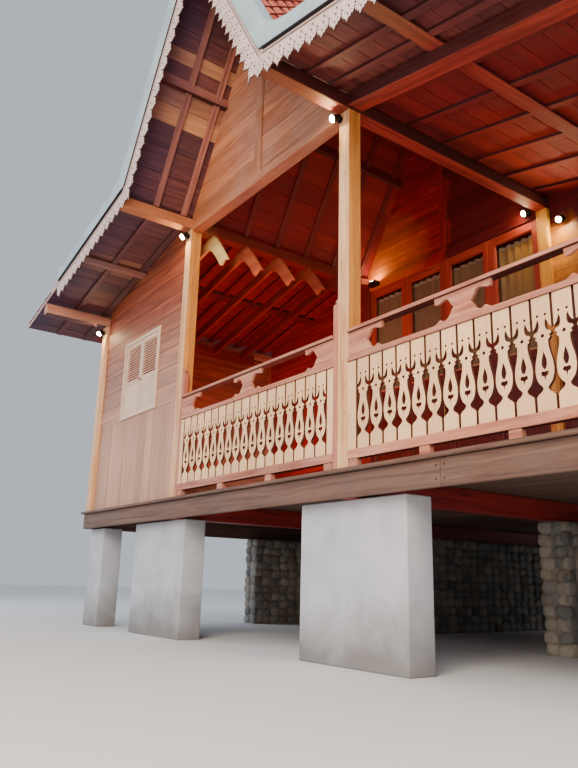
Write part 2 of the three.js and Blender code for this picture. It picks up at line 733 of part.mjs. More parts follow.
buildBase();
buildFloor();
buildPosts();
buildBeams();
buildHookedRafters();
buildRoof();
buildCopings();
buildVergeBoards();
buildWalls();
buildGables();
buildWindows();
buildVerandaDoors();
buildBalustrades();

export default house;
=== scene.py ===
"""A raised timber veranda house with a kinked gable roof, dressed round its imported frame."""

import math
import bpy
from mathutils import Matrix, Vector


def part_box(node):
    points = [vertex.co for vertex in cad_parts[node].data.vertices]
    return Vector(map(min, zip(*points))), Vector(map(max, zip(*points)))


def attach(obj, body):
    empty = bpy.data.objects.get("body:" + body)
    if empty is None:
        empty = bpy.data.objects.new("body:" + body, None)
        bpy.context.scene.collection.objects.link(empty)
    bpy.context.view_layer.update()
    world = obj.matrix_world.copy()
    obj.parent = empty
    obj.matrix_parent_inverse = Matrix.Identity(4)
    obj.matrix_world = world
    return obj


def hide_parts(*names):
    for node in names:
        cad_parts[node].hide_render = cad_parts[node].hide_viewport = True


bl_info = {
    "name": "Veranda House",
    "version": (1, 0, 0),
    "blender": (4, 5, 0),
    "location": "View3D > Sidebar > House",
    "description": "Builds a raised timber veranda house with carved balustrades and a tiled roof",
    "category": "Add Mesh",
}

import bmesh
import bpy
import numpy as np
from bpy.props import FloatProperty, FloatVectorProperty, IntProperty, PointerProperty
from mathutils import Matrix, Vector
from mathutils.geometry import tessellate_polygon

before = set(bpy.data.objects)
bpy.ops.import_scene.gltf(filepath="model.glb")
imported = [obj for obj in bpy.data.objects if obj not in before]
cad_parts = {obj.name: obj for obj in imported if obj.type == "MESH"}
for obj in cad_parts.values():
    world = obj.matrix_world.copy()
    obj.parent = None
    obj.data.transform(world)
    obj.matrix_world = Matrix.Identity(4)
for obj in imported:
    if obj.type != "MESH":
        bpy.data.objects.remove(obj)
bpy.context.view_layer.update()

# Places below are metres: x from the middle, y back from the posts' front face, z over the floor
FRONT_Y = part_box("right_front_post")[0].y
FLOOR_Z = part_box("floor_deck")[1].z
SHIFT = Vector((0.0, FRONT_Y, FLOOR_Z))
DEPTH = -2 * FRONT_Y
POST = 0.13
MIDDLE_X = 1.385
OUTER_X = 3.775
INNER_Y = 2.72
KINK_Z = 3.26
STEEP = 1.7084
SKIRT = 0.2194
STEEP_COS = 1 / math.hypot(1, STEEP)
SKIRT_COS = 1 / math.hypot(1, SKIRT)
EAVE = 4.59
OVERHANG = 0.87
ROOF_THICK = 0.095
LACE_END = 3.325
LACE_PITCH = 0.14
ROOF_Y = (-0.8247, DEPTH + 0.8247)
RAIL_TOP, RAIL_UNDER = 1.075, 1.046
MID_TOP, MID_UNDER = 0.846, 0.81
FOOT_TOP, FOOT_UNDER = 0.13, 0.06
ACROSS, BACK, UP = (1, 0, 0), (0, 1, 0), (0, 0, 1)
SIDES = (("left", -1), ("right", 1))
SLOPES = [(side, sign, steep) for side, sign in SIDES for steep in (True, False)]
ENDS = (("front", False), ("rear", True))
REACH = OUTER_X + POST / 2
OUTER_PLATE_Z = KINK_Z + (MIDDLE_X - OUTER_X) * SKIRT - 0.195
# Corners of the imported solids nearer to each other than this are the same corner
WELD = 0.00002


class HouseRoof(bpy.types.PropertyGroup):
    columns: IntProperty(name="Tile columns", description="Tiles along the eave", default=66, min=10, max=90)
    steep_rows: IntProperty(
        name="Steep rows", description="Tile rows on a steep slope", default=16, min=4, max=24
    )
    skirt_rows: IntProperty(
        name="Skirt rows", description="Tile rows on a skirt slope", default=19, min=4, max=24
    )
    wave: FloatProperty(
        name="Wave", description="Height of a tile's wave", default=0.028, min=0.004, max=0.03, unit="LENGTH"
    )
    sheathing: FloatProperty(
        name="Sheathing", description="Width of a board under the skirt tiles", default=0.19, min=0.08,
        unit="LENGTH",
    )


class HouseTimber(bpy.types.PropertyGroup):
    wall_board: FloatProperty(
        name="Wall board", description="Width of a wall board", default=0.228, min=0.08, unit="LENGTH"
    )
    groove: FloatProperty(
        name="Groove", description="Gap between two wall boards", default=0.006, min=0.001, unit="LENGTH"
    )
    worn_edge: FloatProperty(
        name="Worn edge", description="Rounding of a beam's edges", default=0.006, min=0.001, unit="LENGTH"
    )


class HouseStone(bpy.types.PropertyGroup):
    size: FloatProperty(
        name="Stone", description="Spacing of the cobbles in the base walls", default=0.15, min=0.08,
        unit="LENGTH",
    )
    seed: IntProperty(name="Seed", description="Order of the cobbles", default=7, min=0)


class HouseStage(bpy.types.PropertyGroup):
    floor: FloatVectorProperty(
        name="Floor", description="Colour of the studio floor", default=(0.78, 0.79, 0.8), subtype="COLOR",
        min=0, max=1,
    )
    key: FloatProperty(
        name="Key light", description="Power of the large softbox", default=1700.0, min=0, unit="POWER"
    )
    glow: FloatProperty(name="Lamp glow", description="Emission of a lamp's lens", default=620.0, min=0)


# Node trees


def wire(tree, node, links):
    """Links or sets a node's input sockets by name or number."""
    for key, value in links.items():
        if isinstance(value, bpy.types.Node):
            value = value.outputs[0]
        if isinstance(value, bpy.types.NodeSocket):
            tree.links.new(value, node.inputs[key])
        else:
            node.inputs[key].default_value = value


def put(tree, kind, settings=None, links=None):
    """Adds a node, sets its properties, and wires its inputs."""
    node = tree.nodes.new(kind)
    for key, value in (settings or {}).items():
        setattr(node, key, value)
    wire(tree, node, links or {})
    return node


def new_shape_tree(name, sockets):
    """A geometry tree with a Piece input, the named inputs, and a Geometry output."""
    tree = bpy.data.node_groups.new(name, "GeometryNodeTree")
    tree.interface.new_socket("Piece", in_out="INPUT", socket_type="NodeSocketGeometry")
    for socket, kind in sockets:
        tree.interface.new_socket(socket, in_out="INPUT", socket_type="NodeSocket" + kind)
    tree.interface.new_socket("Geometry", in_out="OUTPUT", socket_type="NodeSocketGeometry")
    return tree, tree.nodes.new("NodeGroupInput")


ROW_SOCKETS = [(name, "Vector") for name in ("Start", "Step", "Row step", "Place spread", "Turn spread")]
ROW_SOCKETS += [("Count", "Int"), ("Rows", "Int"), ("Seed", "Int")]
ROW_SOCKETS += [("Size spread", "Float"), ("Material", "Material")]


def stray(tree, reach, seed):
    """A random vector from -reach to reach."""
    back = put(tree, "ShaderNodeVectorMath", {"operation": "SCALE"}, {0: reach, "Scale": -1.0})
    links = {0: back, 1: reach, "Seed": seed}
    return put(tree, "FunctionNodeRandomValue", {"data_type": "FLOAT_VECTOR"}, links)


def repeated(tree, given):
    """Nodes that set copies of the piece out in rows, each a little moved, turned and sized at random."""
    out = given.outputs
    links = {"Count": out["Count"], "Start Location": out["Start"], "Offset": out["Step"]}
    line = put(tree, "GeometryNodeMeshLine", {"mode": "OFFSET"}, links)
    links = {"Count": out["Rows"], "Offset": out["Row step"]}
    other = put(tree, "GeometryNodeMeshLine", {"mode": "OFFSET"}, links)
    lines = put(tree, "GeometryNodeInstanceOnPoints", None, {"Points": other, "Instance": line})
    places = put(tree, "GeometryNodeRealizeInstances", None, {"Geometry": lines})
    offset = stray(tree, out["Place spread"], out["Seed"])
    moved = put(tree, "GeometryNodeSetPosition", None, {"Geometry": places, "Offset": offset})
    turn = stray(tree, out["Turn spread"], mathed(tree, "ADD", out["Seed"], 1.0))
    least = mathed(tree, "SUBTRACT", 1.0, out["Size spread"])
    most = mathed(tree, "ADD", 1.0, out["Size spread"])
    links = {2: least, 3: most, "Seed": out["Seed"]}
    size = put(tree, "FunctionNodeRandomValue", {"data_type": "FLOAT"}, links).outputs[1]
    links = {"Points": moved, "Instance": out["Piece"], "Rotation": turn, "Scale": size}
    copies = put(tree, "GeometryNodeInstanceOnPoints", None, links)
    return put(tree, "GeometryNodeRealizeInstances", None, {"Geometry": copies})


def close_tree(tree, shape, given):
    """Ends a geometry tree in its material and output."""
    links = {"Geometry": shape, "Material": given.outputs["Material"]}
    painted = put(tree, "GeometryNodeSetMaterial", None, links)
    put(tree, "NodeGroupOutput", None, {"Geometry": painted})
    return tree


def rows_tree():
    """Like pieces in rows, such as tiles, balusters, slats and cobbles."""
    tree, given = new_shape_tree("Rows of like pieces", ROW_SOCKETS)
    return close_tree(tree, repeated(tree, given), given)


def boarding_tree():
    """Boards in a row, cut to the outline of the solid that they clad."""
    tree, given = new_shape_tree("Boards cut to a wall", ROW_SOCKETS + [("Wall", "Object")])
    boards = repeated(tree, given)
    links = {"Object": given.outputs["Wall"]}
    wall = put(tree, "GeometryNodeObjectInfo", {"transform_space": "ORIGINAL"}, links)
    links = {"Geometry": wall.outputs["Geometry"], "Translation": tuple(-SHIFT)}
    local = put(tree, "GeometryNodeTransform", None, links)
    whole = put(tree, "GeometryNodeMergeByDistance", None, {"Geometry": local, "Distance": WELD})
    cut = put(tree, "GeometryNodeMeshBoolean", {"operation": "INTERSECT", "solver": "EXACT"})
    for shape in (boards, whole):
        tree.links.new(shape.outputs[0], cut.inputs["Mesh 2"])
    return close_tree(tree, cut, given)


# Mesh tools


def flat_area(ring):
    return 0.5 * sum(a[0] * b[1] - b[0] * a[1] for a, b in zip(ring, ring[1:] + ring[:1]))


def outward(outline):
    """The outline, turned round where it runs clockwise."""
    return outline if flat_area(outline) > 0 else outline[::-1]


def mirrored(half, *middle):
    """A whole outline from its right half, with the points that lie between the halves."""
    return half + list(middle) + [(-u, v) for u, v in half[::-1]]


def octagon(u, v, size, pitch=1.0):
    """The outline of a small round hole, where u counts in steps of pitch."""
    turns = [n * math.pi / 4 for n in range(8)]
    return [(u + size / pitch * math.cos(turn), v + size * math.sin(turn)) for turn in turns]


class Solids:
    """Collects closed solids into one mesh."""

    def __init__(self):
        self.points = []
        self.faces = []

    def add(self, points, faces):
        start = len(self.points)
        self.points += [tuple(point) for point in points]
        self.faces += [[start + index for index in face] for face in faces]
        return self

    def block(self, x, y, z):
        points = [(a, b, c) for a in sorted(x) for b in sorted(y) for c in sorted(z)]
        faces = [(0, 1, 3, 2), (4, 6, 7, 5), (0, 4, 5, 1), (2, 3, 7, 6), (0, 2, 6, 4), (1, 5, 7, 3)]
        return self.add(points, faces)

    def plate(self, outline, y, holes=()):
        """A board cut to an outline in x and z, with holes, from y[0] to y[1]."""
        rings = [[Vector((u, v, 0)) for u, v in ring] for ring in (outline, *holes)]
        flat = sum(rings, [])
        count = len(flat)
        if holes:
            faces = []
            for a, b, c in tessellate_polygon(rings):
                if (flat[b] - flat[a]).cross(flat[c] - flat[a]).z < 0:
                    b, c = c, b
                faces += [(a, b, c), (count + c, count + b, count + a)]
        else:
            order = list(range(count))[:: 1 if flat_area(flat) > 0 else -1]
            faces = [order, [count + index for index in reversed(order)]]
        start = 0
        for number, ring in enumerate(rings):
            outside = (flat_area(ring) > 0) == (number == 0)
            for index in range(len(ring)):
                a, b = start + index, start + (index + 1) % len(ring)
                faces.append((b, a, count + a, count + b) if outside else (a, b, count + b, count + a))
            start += len(ring)
        return self.add([(p.x, depth, p.y) for depth in y for p in flat], faces)

    def side_plate(self, outline, x):
        """The same, with the outline in y and z, from x[0] to x[1]."""
        other = Solids().plate(outline, x)
        return self.add([(b, a, c) for a, b, c in other.points], [face[::-1] for face in other.faces])

    def rod(self, start, end, radius, sides=12, end_radius=None):
        """A round bar, tapered if end_radius is given."""
        start, end = Vector(start), Vector(end)
        along = (end - start).normalized()
        across = along.orthogonal().normalized()
        other = along.cross(across)
        points = []
        for centre, size in ((start, radius), (end, radius if end_radius is None else end_radius)):
            for n in range(sides):
                turn = 2 * math.pi * n / sides
                points.append(centre + (across * math.cos(turn) + other * math.sin(turn)) * size)
        faces = [list(range(sides))[::-1], list(range(sides, 2 * sides))]
        for n in range(sides):
            m = (n + 1) % sides
            faces.append((n, m, sides + m, sides + n))
        return self.add(points, faces)

    def turned(self, matrix):
        """The same solids after a turn or a move."""
        self.points = [tuple(matrix @ Vector(point)) for point in self.points]
        return self

    def mesh(self, name):
        mesh = bpy.data.meshes.new(name)
        mesh.from_pydata(self.points, [], self.faces)
        mesh.validate()
        mesh.update()
        return mesh

    def shown(self, name, material=None):
        """Puts the solids in the scene as one object, in a material if one is named."""
        piece = show(name, self.mesh(name))
        if material:
            piece.data.materials.append(MATERIALS[material])
        return piece

    def volume(self):
        """Six times the volume inside the faces, below zero where they look inward."""
        total = 0.0
        for face in self.faces:
            first, *others = (Vector(self.points[index]) for index in face)
            total += sum(first.dot(b.cross(c)) for b, c in zip(others, others[1:]))
        return total


def show(name, mesh):
    """Puts a mesh in the scene as an object at the origin."""
    piece = bpy.data.objects.new(name, mesh)
    bpy.context.scene.collection.objects.link(piece)
    return piece


def settle(piece):
    """Turns the result of a piece's modifiers into its plain mesh."""
    graph = bpy.context.evaluated_depsgraph_get()
    mesh = bpy.data.meshes.new_from_object(piece.evaluated_get(graph))
    piece.modifiers.clear()
    piece.data = mesh
    return piece


def rows(name, solids, material, step, count, **more):
    """Copies of a piece in one row, or in several with row_step and rows, cut to a wall if one is named."""
    values = {"Step": step, "Count": count, "Rows": more.get("rows", 1), "Seed": more.get("seed", 1)}
    values |= {"Size spread": more.get("size", 0.0), "Material": MATERIALS[material]}
    vectors = {"Start": "start", "Row step": "row_step", "Place spread": "place", "Turn spread": "turn"}
    values |= {socket: more.get(key, (0, 0, 0)) for socket, key in vectors.items()}
    tree = TREES["rows"]
    if "wall" in more:
        values["Wall"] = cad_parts[more["wall"]]
        tree = TREES["boarding"]
    piece = solids.shown(name)
    modifier = piece.modifiers.new("shape", "NODES")
    modifier.node_group = tree
    for item in tree.interface.items_tree:
        if item.item_type == "SOCKET" and item.in_out == "INPUT" and item.name in values:
            value = values[item.name]
            if item.socket_type == "NodeSocketVector":
                value = tuple(float(part) for part in value)
            modifier[item.identifier] = value
    return settle(piece)


def joined(name, pieces):
    """Joins several plain pieces into one object."""
    target = show(name, bpy.data.meshes.new(name))
    points, faces, slots, materials = [], [], [], []
    for piece in pieces:
        start = len(points)
        points += [tuple(vertex.co) for vertex in piece.data.vertices]
        for face in piece.data.polygons:
            faces.append([start + index for index in face.vertices])
            material = piece.data.materials[face.material_index]
            if material not in materials:
                materials.append(material)
            slots.append(materials.index(material))
        bpy.data.objects.remove(piece)
    target.data.from_pydata(points, [], faces)
    for material in materials:
        target.data.materials.append(material)
    target.data.polygons.foreach_set("material_index", slots)
    target.data.update()
    return target


def read(items, field, size=1, kind=np.float32):
    """One field of all the items of a mesh, with size numbers to an item."""
    values = np.empty(len(items) * size, kind)
    items.foreach_get(field, values)
    return values.reshape(-1, size) if size > 1 else values


def islands(mesh):
    """The number of the loose part that each vertex belongs to."""
    edges = read(mesh.edges, "vertices", 2, np.int32)
    label = np.arange(len(mesh.vertices))
    while True:
        low = np.minimum(label[edges[:, 0]], label[edges[:, 1]])
        fresh = label.copy()
        np.minimum.at(fresh, edges[:, 0], low)
        np.minimum.at(fresh, edges[:, 1], low)
        fresh = fresh[fresh]
        if (fresh == label).all():
            return np.unique(label, return_inverse=True)[1].ravel()
        label = fresh


def unit(vectors):
    return vectors / np.maximum(np.linalg.norm(vectors, axis=-1, keepdims=True), 1e-9)


def grain(mesh, direction=None, seed=1, face=None, tones=None):
    """Gives each board a UV map in metres, u along its grain, and a tone of its own from 0 to 1.

    With face, the way that the boards look, the sides sawn square to it are marked as cut. tones gives
    the boards' tones in their order, in place of random ones.
    """
    co = read(mesh.vertices, "co", 3).astype(float)
    board = islands(mesh)
    boards = int(board.max()) + 1
    if direction is None:
        size = np.bincount(board, minlength=boards).reshape(-1, 1)
        centre = np.stack([np.bincount(board, co[:, k], boards) for k in range(3)], 1) / size
        offset = co - centre[board]
        spread = np.zeros((boards, 3, 3))
        np.add.at(spread, board, offset[:, :, None] * offset[:, None, :])
        along = np.linalg.eigh(spread)[1][:, :, 2]
        main = np.abs(along).argmax(1)
        square = np.abs(along).max(1) > 0.985
        along[square] = np.eye(3)[main[square]]
    else:
        along = np.tile(unit(np.array(direction, float)), (boards, 1))
    random = np.random.default_rng(seed)
    shift = random.uniform(0, 20, (boards, 2))
    tone = random.uniform(0, 1, boards) if tones is None else np.array(tones)
    corner = read(mesh.loops, "vertex_index", kind=np.int32)
    total = read(mesh.polygons, "loop_total", kind=np.int32)
    normal = np.repeat(read(mesh.polygons, "normal", 3), total, 0).astype(float)
    way = along[board[corner]]
    end = np.abs((normal * way).sum(1)) > 0.85
    other = unit(np.cross(way, [0.31, 0.53, 0.79]))
    first = np.where(end[:, None], other, way)
    second = unit(np.cross(normal, first))
    place = co[corner]
    uv = np.stack([(place * first).sum(1), (place * second).sum(1)], 1) + shift[board[corner]]
    layer = mesh.uv_layers.new(name="grain")
    layer.data.foreach_set("uv", uv.astype(np.float32).ravel())
    mesh.attributes.new("tone", "FLOAT", "POINT").data.foreach_set("value", tone[board].astype(np.float32))
    if face is not None:
        # Some materials paint shade on the cut sides: the tiles' laps and the gaps between painted boards
        cut = np.abs(normal @ unit(np.array(face, float))) < 0.5
        sides = cut[np.cumsum(total) - total]
        mesh.attributes.new("cut", "FLOAT", "FACE").data.foreach_set("value", sides.astype(np.float32))


def dress(
    piece, material, replaces=None, bevel=0.0, segments=1, direction=None, smooth=None, seed=1,
    face=None, tones=None,
):
    """Rounds a piece's edges, maps its grain, coats it, moves it to its place and gives it to the frame."""
    if bevel:
        modifier = piece.modifiers.new("edges", "BEVEL")
        modifier.width = bevel
        modifier.segments = segments
        modifier.limit_method = "ANGLE"
        modifier.angle_limit = math.radians(35)
        settle(piece)
    mesh = piece.data
    grain(mesh, direction, seed, face, tones)
    mesh.materials.clear()
    mesh.materials.append(MATERIALS[material])
    mesh.polygons.foreach_set("material_index", [0] * len(mesh.polygons))
    if smooth:
        mesh.shade_smooth()
        mesh.set_sharp_from_angle(angle=math.radians(smooth))
    mesh.transform(Matrix.Translation(SHIFT))
    mesh.update()
    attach(piece, "root")
    if replaces:
        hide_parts(replaces)
    return piece


def two_tone(piece, material, way, least=0.7):
    """Gives the faces that look one way a second material."""
    mesh = piece.data
    second = MATERIALS[material]
    if second.name not in mesh.materials:
        mesh.materials.append(second)
    number = mesh.materials.find(second.name)
    for face in mesh.polygons:
        if face.normal.dot(Vector(way)) > least:
            face.material_index = number


def copy_of(node, name):
    """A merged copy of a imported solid, in local places, with its flat faces whole again."""
    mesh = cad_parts[node].data.copy()
    piece = show(name, mesh)
    work = bmesh.new()
    work.from_mesh(mesh)
    bmesh.ops.remove_doubles(work, verts=work.verts, dist=WELD)
    bmesh.ops.dissolve_limit(work, angle_limit=0.01, verts=work.verts, edges=work.edges)
    bmesh.ops.translate(work, vec=-SHIFT, verts=work.verts)
    work.to_mesh(mesh)
    work.free()
    for layer in list(mesh.uv_layers):
        mesh.uv_layers.remove(layer)
    return piece


# Materials

MATERIALS = {}
TREES = {}


def shade(text):
    """A linear colour from an sRGB hex value."""
    parts = [int(text[i : i + 2], 16) / 255 for i in (0, 2, 4)]
    return tuple(v / 12.92 if v <= 0.04045 else ((v + 0.055) / 1.055) ** 2.4 for v in parts) + (1.0,)


def shades(text):
    return [shade(part) for part in text.split()]


def blank(name):
    """Starts a material, and gives its tree, its shader and the place on the object."""
    material = bpy.data.materials.new(name)
    material.use_nodes = True
    MATERIALS[name] = material
    tree = material.node_tree
    tree.nodes.clear()
    shader = put(tree, "ShaderNodeBsdfPrincipled")
    put(tree, "ShaderNodeOutputMaterial", None, {"Surface": shader})
    return tree, shader, put(tree, "ShaderNodeTexCoord").outputs["Object"]


def ramp(tree, value, places, colours):
    """Colours set out at places along a value from 0 to 1."""
    node = put(tree, "ShaderNodeValToRGB", None, {"Fac": value})
    elements = node.color_ramp.elements
    while len(elements) < len(colours):
        elements.new(0.5)
    for element, place, colour in zip(elements, places, colours):
        element.position = place
        element.color = colour
    return node


def mark(tree, name):
    """The tone of a board, or whether a side is cut, as grain wrote it on the mesh."""
    return put(tree, "ShaderNodeAttribute", {"attribute_name": name}).outputs["Fac"]


def noise(tree, vector, scale, detail=3.0, roughness=0.55, distortion=0.0, dimensions="3D"):
    links = {"Vector": vector, "Scale": scale, "Detail": detail, "Roughness": roughness}
    links["Distortion"] = distortion
    return put(tree, "ShaderNodeTexNoise", {"noise_dimensions": dimensions}, links)


def spread(tree, value, low, high, to_low=0.0, to_high=1.0):
    links = {"Value": value, "From Min": low, "From Max": high, "To Min": to_low, "To Max": to_high}
    return put(tree, "ShaderNodeMapRange", None, links)


def mixed(tree, amount, first, second):
    return put(tree, "ShaderNodeMix", {"data_type": "RGBA"}, {0: amount, 6: first, 7: second}).outputs[2]


def mathed(tree, operation, first, second=0.0):
    return put(tree, "ShaderNodeMath", {"operation": operation}, {0: first, 1: second})


def summed(tree, first, share, second, other):
    """Two values, each times its share, added up."""
    parts = [mathed(tree, "MULTIPLY", *pair) for pair in ((first, share), (second, other))]
    return mathed(tree, "ADD", *parts)


def toned(tree, value, colour):
    return put(tree, "ShaderNodeHueSaturation", None, {"Value": value, "Color": colour})


def along_way(tree, place, way):
    """How far a place lies along a direction, or from the point that follows the word from."""
    kind, other = ("DISTANCE", way[1]) if way[0] == "from" else ("DOT_PRODUCT", way)
    return put(tree, "ShaderNodeVectorMath", {"operation": kind}, {0: place, 1: other}).outputs["Value"]


def drawn_out(tree, across, *how):
    """Flat noise on the grain map, scaled along the grain and across it."""
    uv = put(tree, "ShaderNodeUVMap", {"uv_map": "grain"})
    wide = put(tree, "ShaderNodeMapping", None, {"Vector": uv, "Scale": (*across, 1.0)})
    return noise(tree, wide, 1.0, *how, "2D")


def bumped(tree, shader, height, distance, strength=1.0):
    bump = put(tree, "ShaderNodeBump", None, {"Height": height, "Distance": distance, "Strength": strength})
    wire(tree, shader, {"Normal": bump})


def timber(name, colours, weather, tones, rough, fades=(), ends="", cracks=0.0):
    """Sawn boards: streaks 60 mm wide over 1.2 m, finer grain 14 mm wide, and a tone for each board.

    colours are the wood's dark, middle and light and the weathered patches. A fade is a colour, its share, a
    direction, and the places along it where the colour is full and where it ends; or a point after the word
    from, and distances from it. ends are the colours of the darkest and the palest boards. cracks is how dark
    the drying cracks are.
    """
    tree, shader, place = blank(name)
    dark, middle, light, weathered = shades(colours)
    streak = drawn_out(tree, (0.8, 16.0), 4.0, 0.6, 0.7)
    line = drawn_out(tree, (4.0, 70.0), 3.0, 0.65, 0.3)
    both = summed(tree, streak, 0.68, line, 0.32)
    wood = ramp(tree, spread(tree, both, 0.28, 0.72), (0.08, 0.5, 0.95), (dark, middle, light))
    tone = mark(tree, "tone")
    value = spread(tree, tone, 0.0, 1.0, 1.0 - tones, 1.0 + tones)
    patches = noise(tree, place, 1.7, 5.0, 0.65)
    worn = spread(tree, patches, 0.42, 0.68, 0.0, weather)
    colour = mixed(tree, worn, toned(tree, value, wood), weathered)
    depth = mathed(tree, "MULTIPLY", spread(tree, both, 0.3, 0.7, 0.72, 1.25), value)
    for limits, tint in zip(((0.35, 0.0, 0.0, 0.6), (0.7, 1.0, 0.0, 0.8)), shades(ends)):
        colour = mixed(tree, spread(tree, tone, *limits), colour, toned(tree, depth, tint))
    for tint, share, way, full, end in fades:
        ragged = mathed(tree, "MULTIPLY", mathed(tree, "SUBTRACT", patches, 0.5), 0.6)
        uneven = mathed(tree, "ADD", along_way(tree, place, way), ragged)
        amount = spread(tree, uneven, full, end, share, 0.0)
        colour = mixed(tree, amount, colour, toned(tree, depth, shade(tint)))
    if cracks:
        # Drying cracks, drawn 4 mm wide and up to a metre long so that they show
        long = drawn_out(tree, (0.9, 22.0), 2.0, 0.5, 0.2)
        split = mathed(tree, "ABSOLUTE", mathed(tree, "SUBTRACT", long, 0.62))
        colour = mixed(tree, spread(tree, split, 0.0, 0.014, cracks, 0.0), colour, dark)
    roughness = spread(tree, line, 0.3, 0.7, rough - 0.1, rough + 0.15)
    wire(tree, shader, {"Base Color": colour, "Roughness": roughness})
    bumped(tree, shader, both, 0.004, 0.6)


def rendered(name, colours, rough, grit):
    """Trowelled cement: faint patches half a metre wide, and grit about 18 mm across.

    colours are the cement, its stains and, if it stands in soil, that soil.
    """
    tree, shader, place = blank(name)
    base, stain, *low = shades(colours)
    patches = noise(tree, place, 2.2, 6.0, 0.62, 0.4)
    grains = noise(tree, place, grit, 3.0, 0.6)
    colour = mixed(tree, spread(tree, patches, 0.4, 0.72, 0.0, 0.85), base, stain)
    if low:
        # Splashed soil darkens the foot of the render
        height = along_way(tree, place, UP)
        uneven = mathed(tree, "ADD", height, mathed(tree, "MULTIPLY", patches, -0.5))
        colour = mixed(tree, spread(tree, uneven, -0.2, 0.25, 0.75, 0.0), colour, low[0])
    wire(tree, shader, {"Base Color": colour, "Roughness": rough})
    bumped(tree, shader, summed(tree, patches, 0.7, grains, 0.3), 0.012, 0.45)


def fired_clay(name):
    """Unglazed terracotta tiles: each fired to its own red, with soot and lichen in patches."""
    tree, shader, place = blank(name)
    clay = ramp(tree, mark(tree, "tone"), (0.0, 0.45, 1.0), shades("b04a38 d4654f e6806a"))
    patches = noise(tree, place, 3.0, 6.0, 0.7)
    speckle = noise(tree, place, 38.0, 4.0, 0.7)
    dark = mixed(tree, spread(tree, patches, 0.52, 0.78, 0.0, 0.4), clay, shade("7d463a"))
    dusty = mixed(tree, spread(tree, speckle, 0.55, 0.8, 0.0, 0.35), dark, shade("d89c88"))
    # Painted shade in the laps: a tile's cut edges are made dark
    colour = mixed(tree, mark(tree, "cut"), dusty, shade("5e2219"))
    wire(tree, shader, {"Base Color": colour, "Roughness": 0.82})
    bumped(tree, shader, speckle, 0.004, 0.5)


def river_stone(name):
    """Rounded river cobbles: grey to brown, each its own tone, with fine speckle."""
    tree, shader, place = blank(name)
    base = ramp(tree, mark(tree, "tone"), (0.0, 0.35, 0.7, 1.0), shades("6a6a68 8f8c86 a89f92 7b6f64"))
    speckle = noise(tree, place, 60.0, 5.0, 0.7)
    veins = noise(tree, place, 9.0, 5.0, 0.6, 1.5)
    spotted = mixed(tree, spread(tree, speckle, 0.5, 0.75, 0.0, 0.5), base, shade("4b4a48"))
    colour = mixed(tree, spread(tree, veins, 0.58, 0.72, 0.0, 0.4), spotted, shade("c2bcb0"))
    wire(tree, shader, {"Base Color": colour, "Roughness": 0.78})
    bumped(tree, shader, mathed(tree, "ADD", speckle, veins), 0.006, 0.5)


def old_paint(name, colours, loss):
    """Old oil paint on pine: chalky, rubbed back to the wood in patches, and never laid on the sawn edges,
    partly painted shade.

    colours are the coat, the bare wood and the sawn edges. loss is how far the coat is rubbed off.
    """
    tree, shader, place = blank(name)
    coat, bare, sawn = shades(colours)
    line = drawn_out(tree, (5.0, 60.0), 4.0, 0.6, 0.4)
    patches = noise(tree, place, 6.0, 6.0, 0.7)
    value = spread(tree, mark(tree, "tone"), 0.0, 1.0, 0.86, 1.08)
    both = summed(tree, line, 0.5, patches, 0.5)
    worn = mixed(tree, spread(tree, both, 0.5, 0.66, 0.0, loss), toned(tree, value, coat), bare)
    wire(tree, shader, {"Base Color": mixed(tree, mark(tree, "cut"), worn, sawn), "Roughness": 0.72})
    bumped(tree, shader, both, 0.003, 0.6)


def cotton(name):
    """Plain cotton: a weave drawn at 4 mm so that it shows, with a little sheen."""
    tree, shader, place = blank(name)
    uv = put(tree, "ShaderNodeUVMap", {"uv_map": "grain"})
    bands = {"wave_type": "BANDS", "bands_direction": "X"}
    weave = put(tree, "ShaderNodeTexWave", bands, {"Vector": uv, "Scale": 40.0, "Distortion": 0.6})
    patches = noise(tree, uv, 3.0, 3.0)
    amount = mathed(tree, "MULTIPLY", mathed(tree, "ADD", weave, patches), 0.3)
    colour = mixed(tree, amount, *shades("cfae80 8a5c3a"))
    # Painted lamplight: the end by the right post's lamp is tinted yellow
    far = along_way(tree, place, ("from", (1.35, FRONT_Y + INNER_Y, FLOOR_Z + 2.7)))
    colour = mixed(tree, spread(tree, far, 0.15, 0.75, 0.9, 0.0), colour, shade("f2b84c"))
    # The sewn header at the top is doubled, so less light comes through it and it looks paler
    header = spread(tree, along_way(tree, place, UP), FLOOR_Z + 2.837, FLOOR_Z + 2.845)
    colour = mixed(tree, header, colour, shade("e4d3ae"))
    wire(tree, shader, {"Base Color": colour, "Roughness": 0.9, "Sheen Weight": 0.3})
    bumped(tree, shader, weave, 0.001, 0.4)


def float_glass(name):
    """Float glass, coloured red-brown as a painted reflection of the dark porch; filmed, and glossy."""
    tree, shader, place = blank(name)
    film = noise(tree, place, 4.0, 4.0)
    colour = mixed(tree, film, *shades("3c1c16 54302a"))
    wire(tree, shader, {"Base Color": colour, "Roughness": spread(tree, film, 0.3, 0.7, 0.03, 0.12)})
    wire(tree, shader, {"Alpha": 0.22, "Specular IOR Level": 0.2, "IOR": 1.5})


def cast_metal(name, colours, rough):
    """Cast fittings, with a dull film in patches."""
    tree, shader, place = blank(name)
    film = noise(tree, place, 60.0, 4.0)
    colour = mixed(tree, film, *shades(colours))
    roughness = spread(tree, film, 0.3, 0.7, rough, rough + 0.2)
    wire(tree, shader, {"Base Color": colour, "Roughness": roughness, "Metallic": 1.0})


def lamp_lens(name, glow):
    """The lit lens of a lamp: warm white, with faint ribs."""
    tree, shader, place = blank(name)
    colour = mixed(tree, noise(tree, place, 90.0, 2.0), *shades("ffe2a8 ffc66a"))
    wire(tree, shader, {"Base Color": colour, "Emission Color": shade("ffeab0"), "Emission Strength": glow})


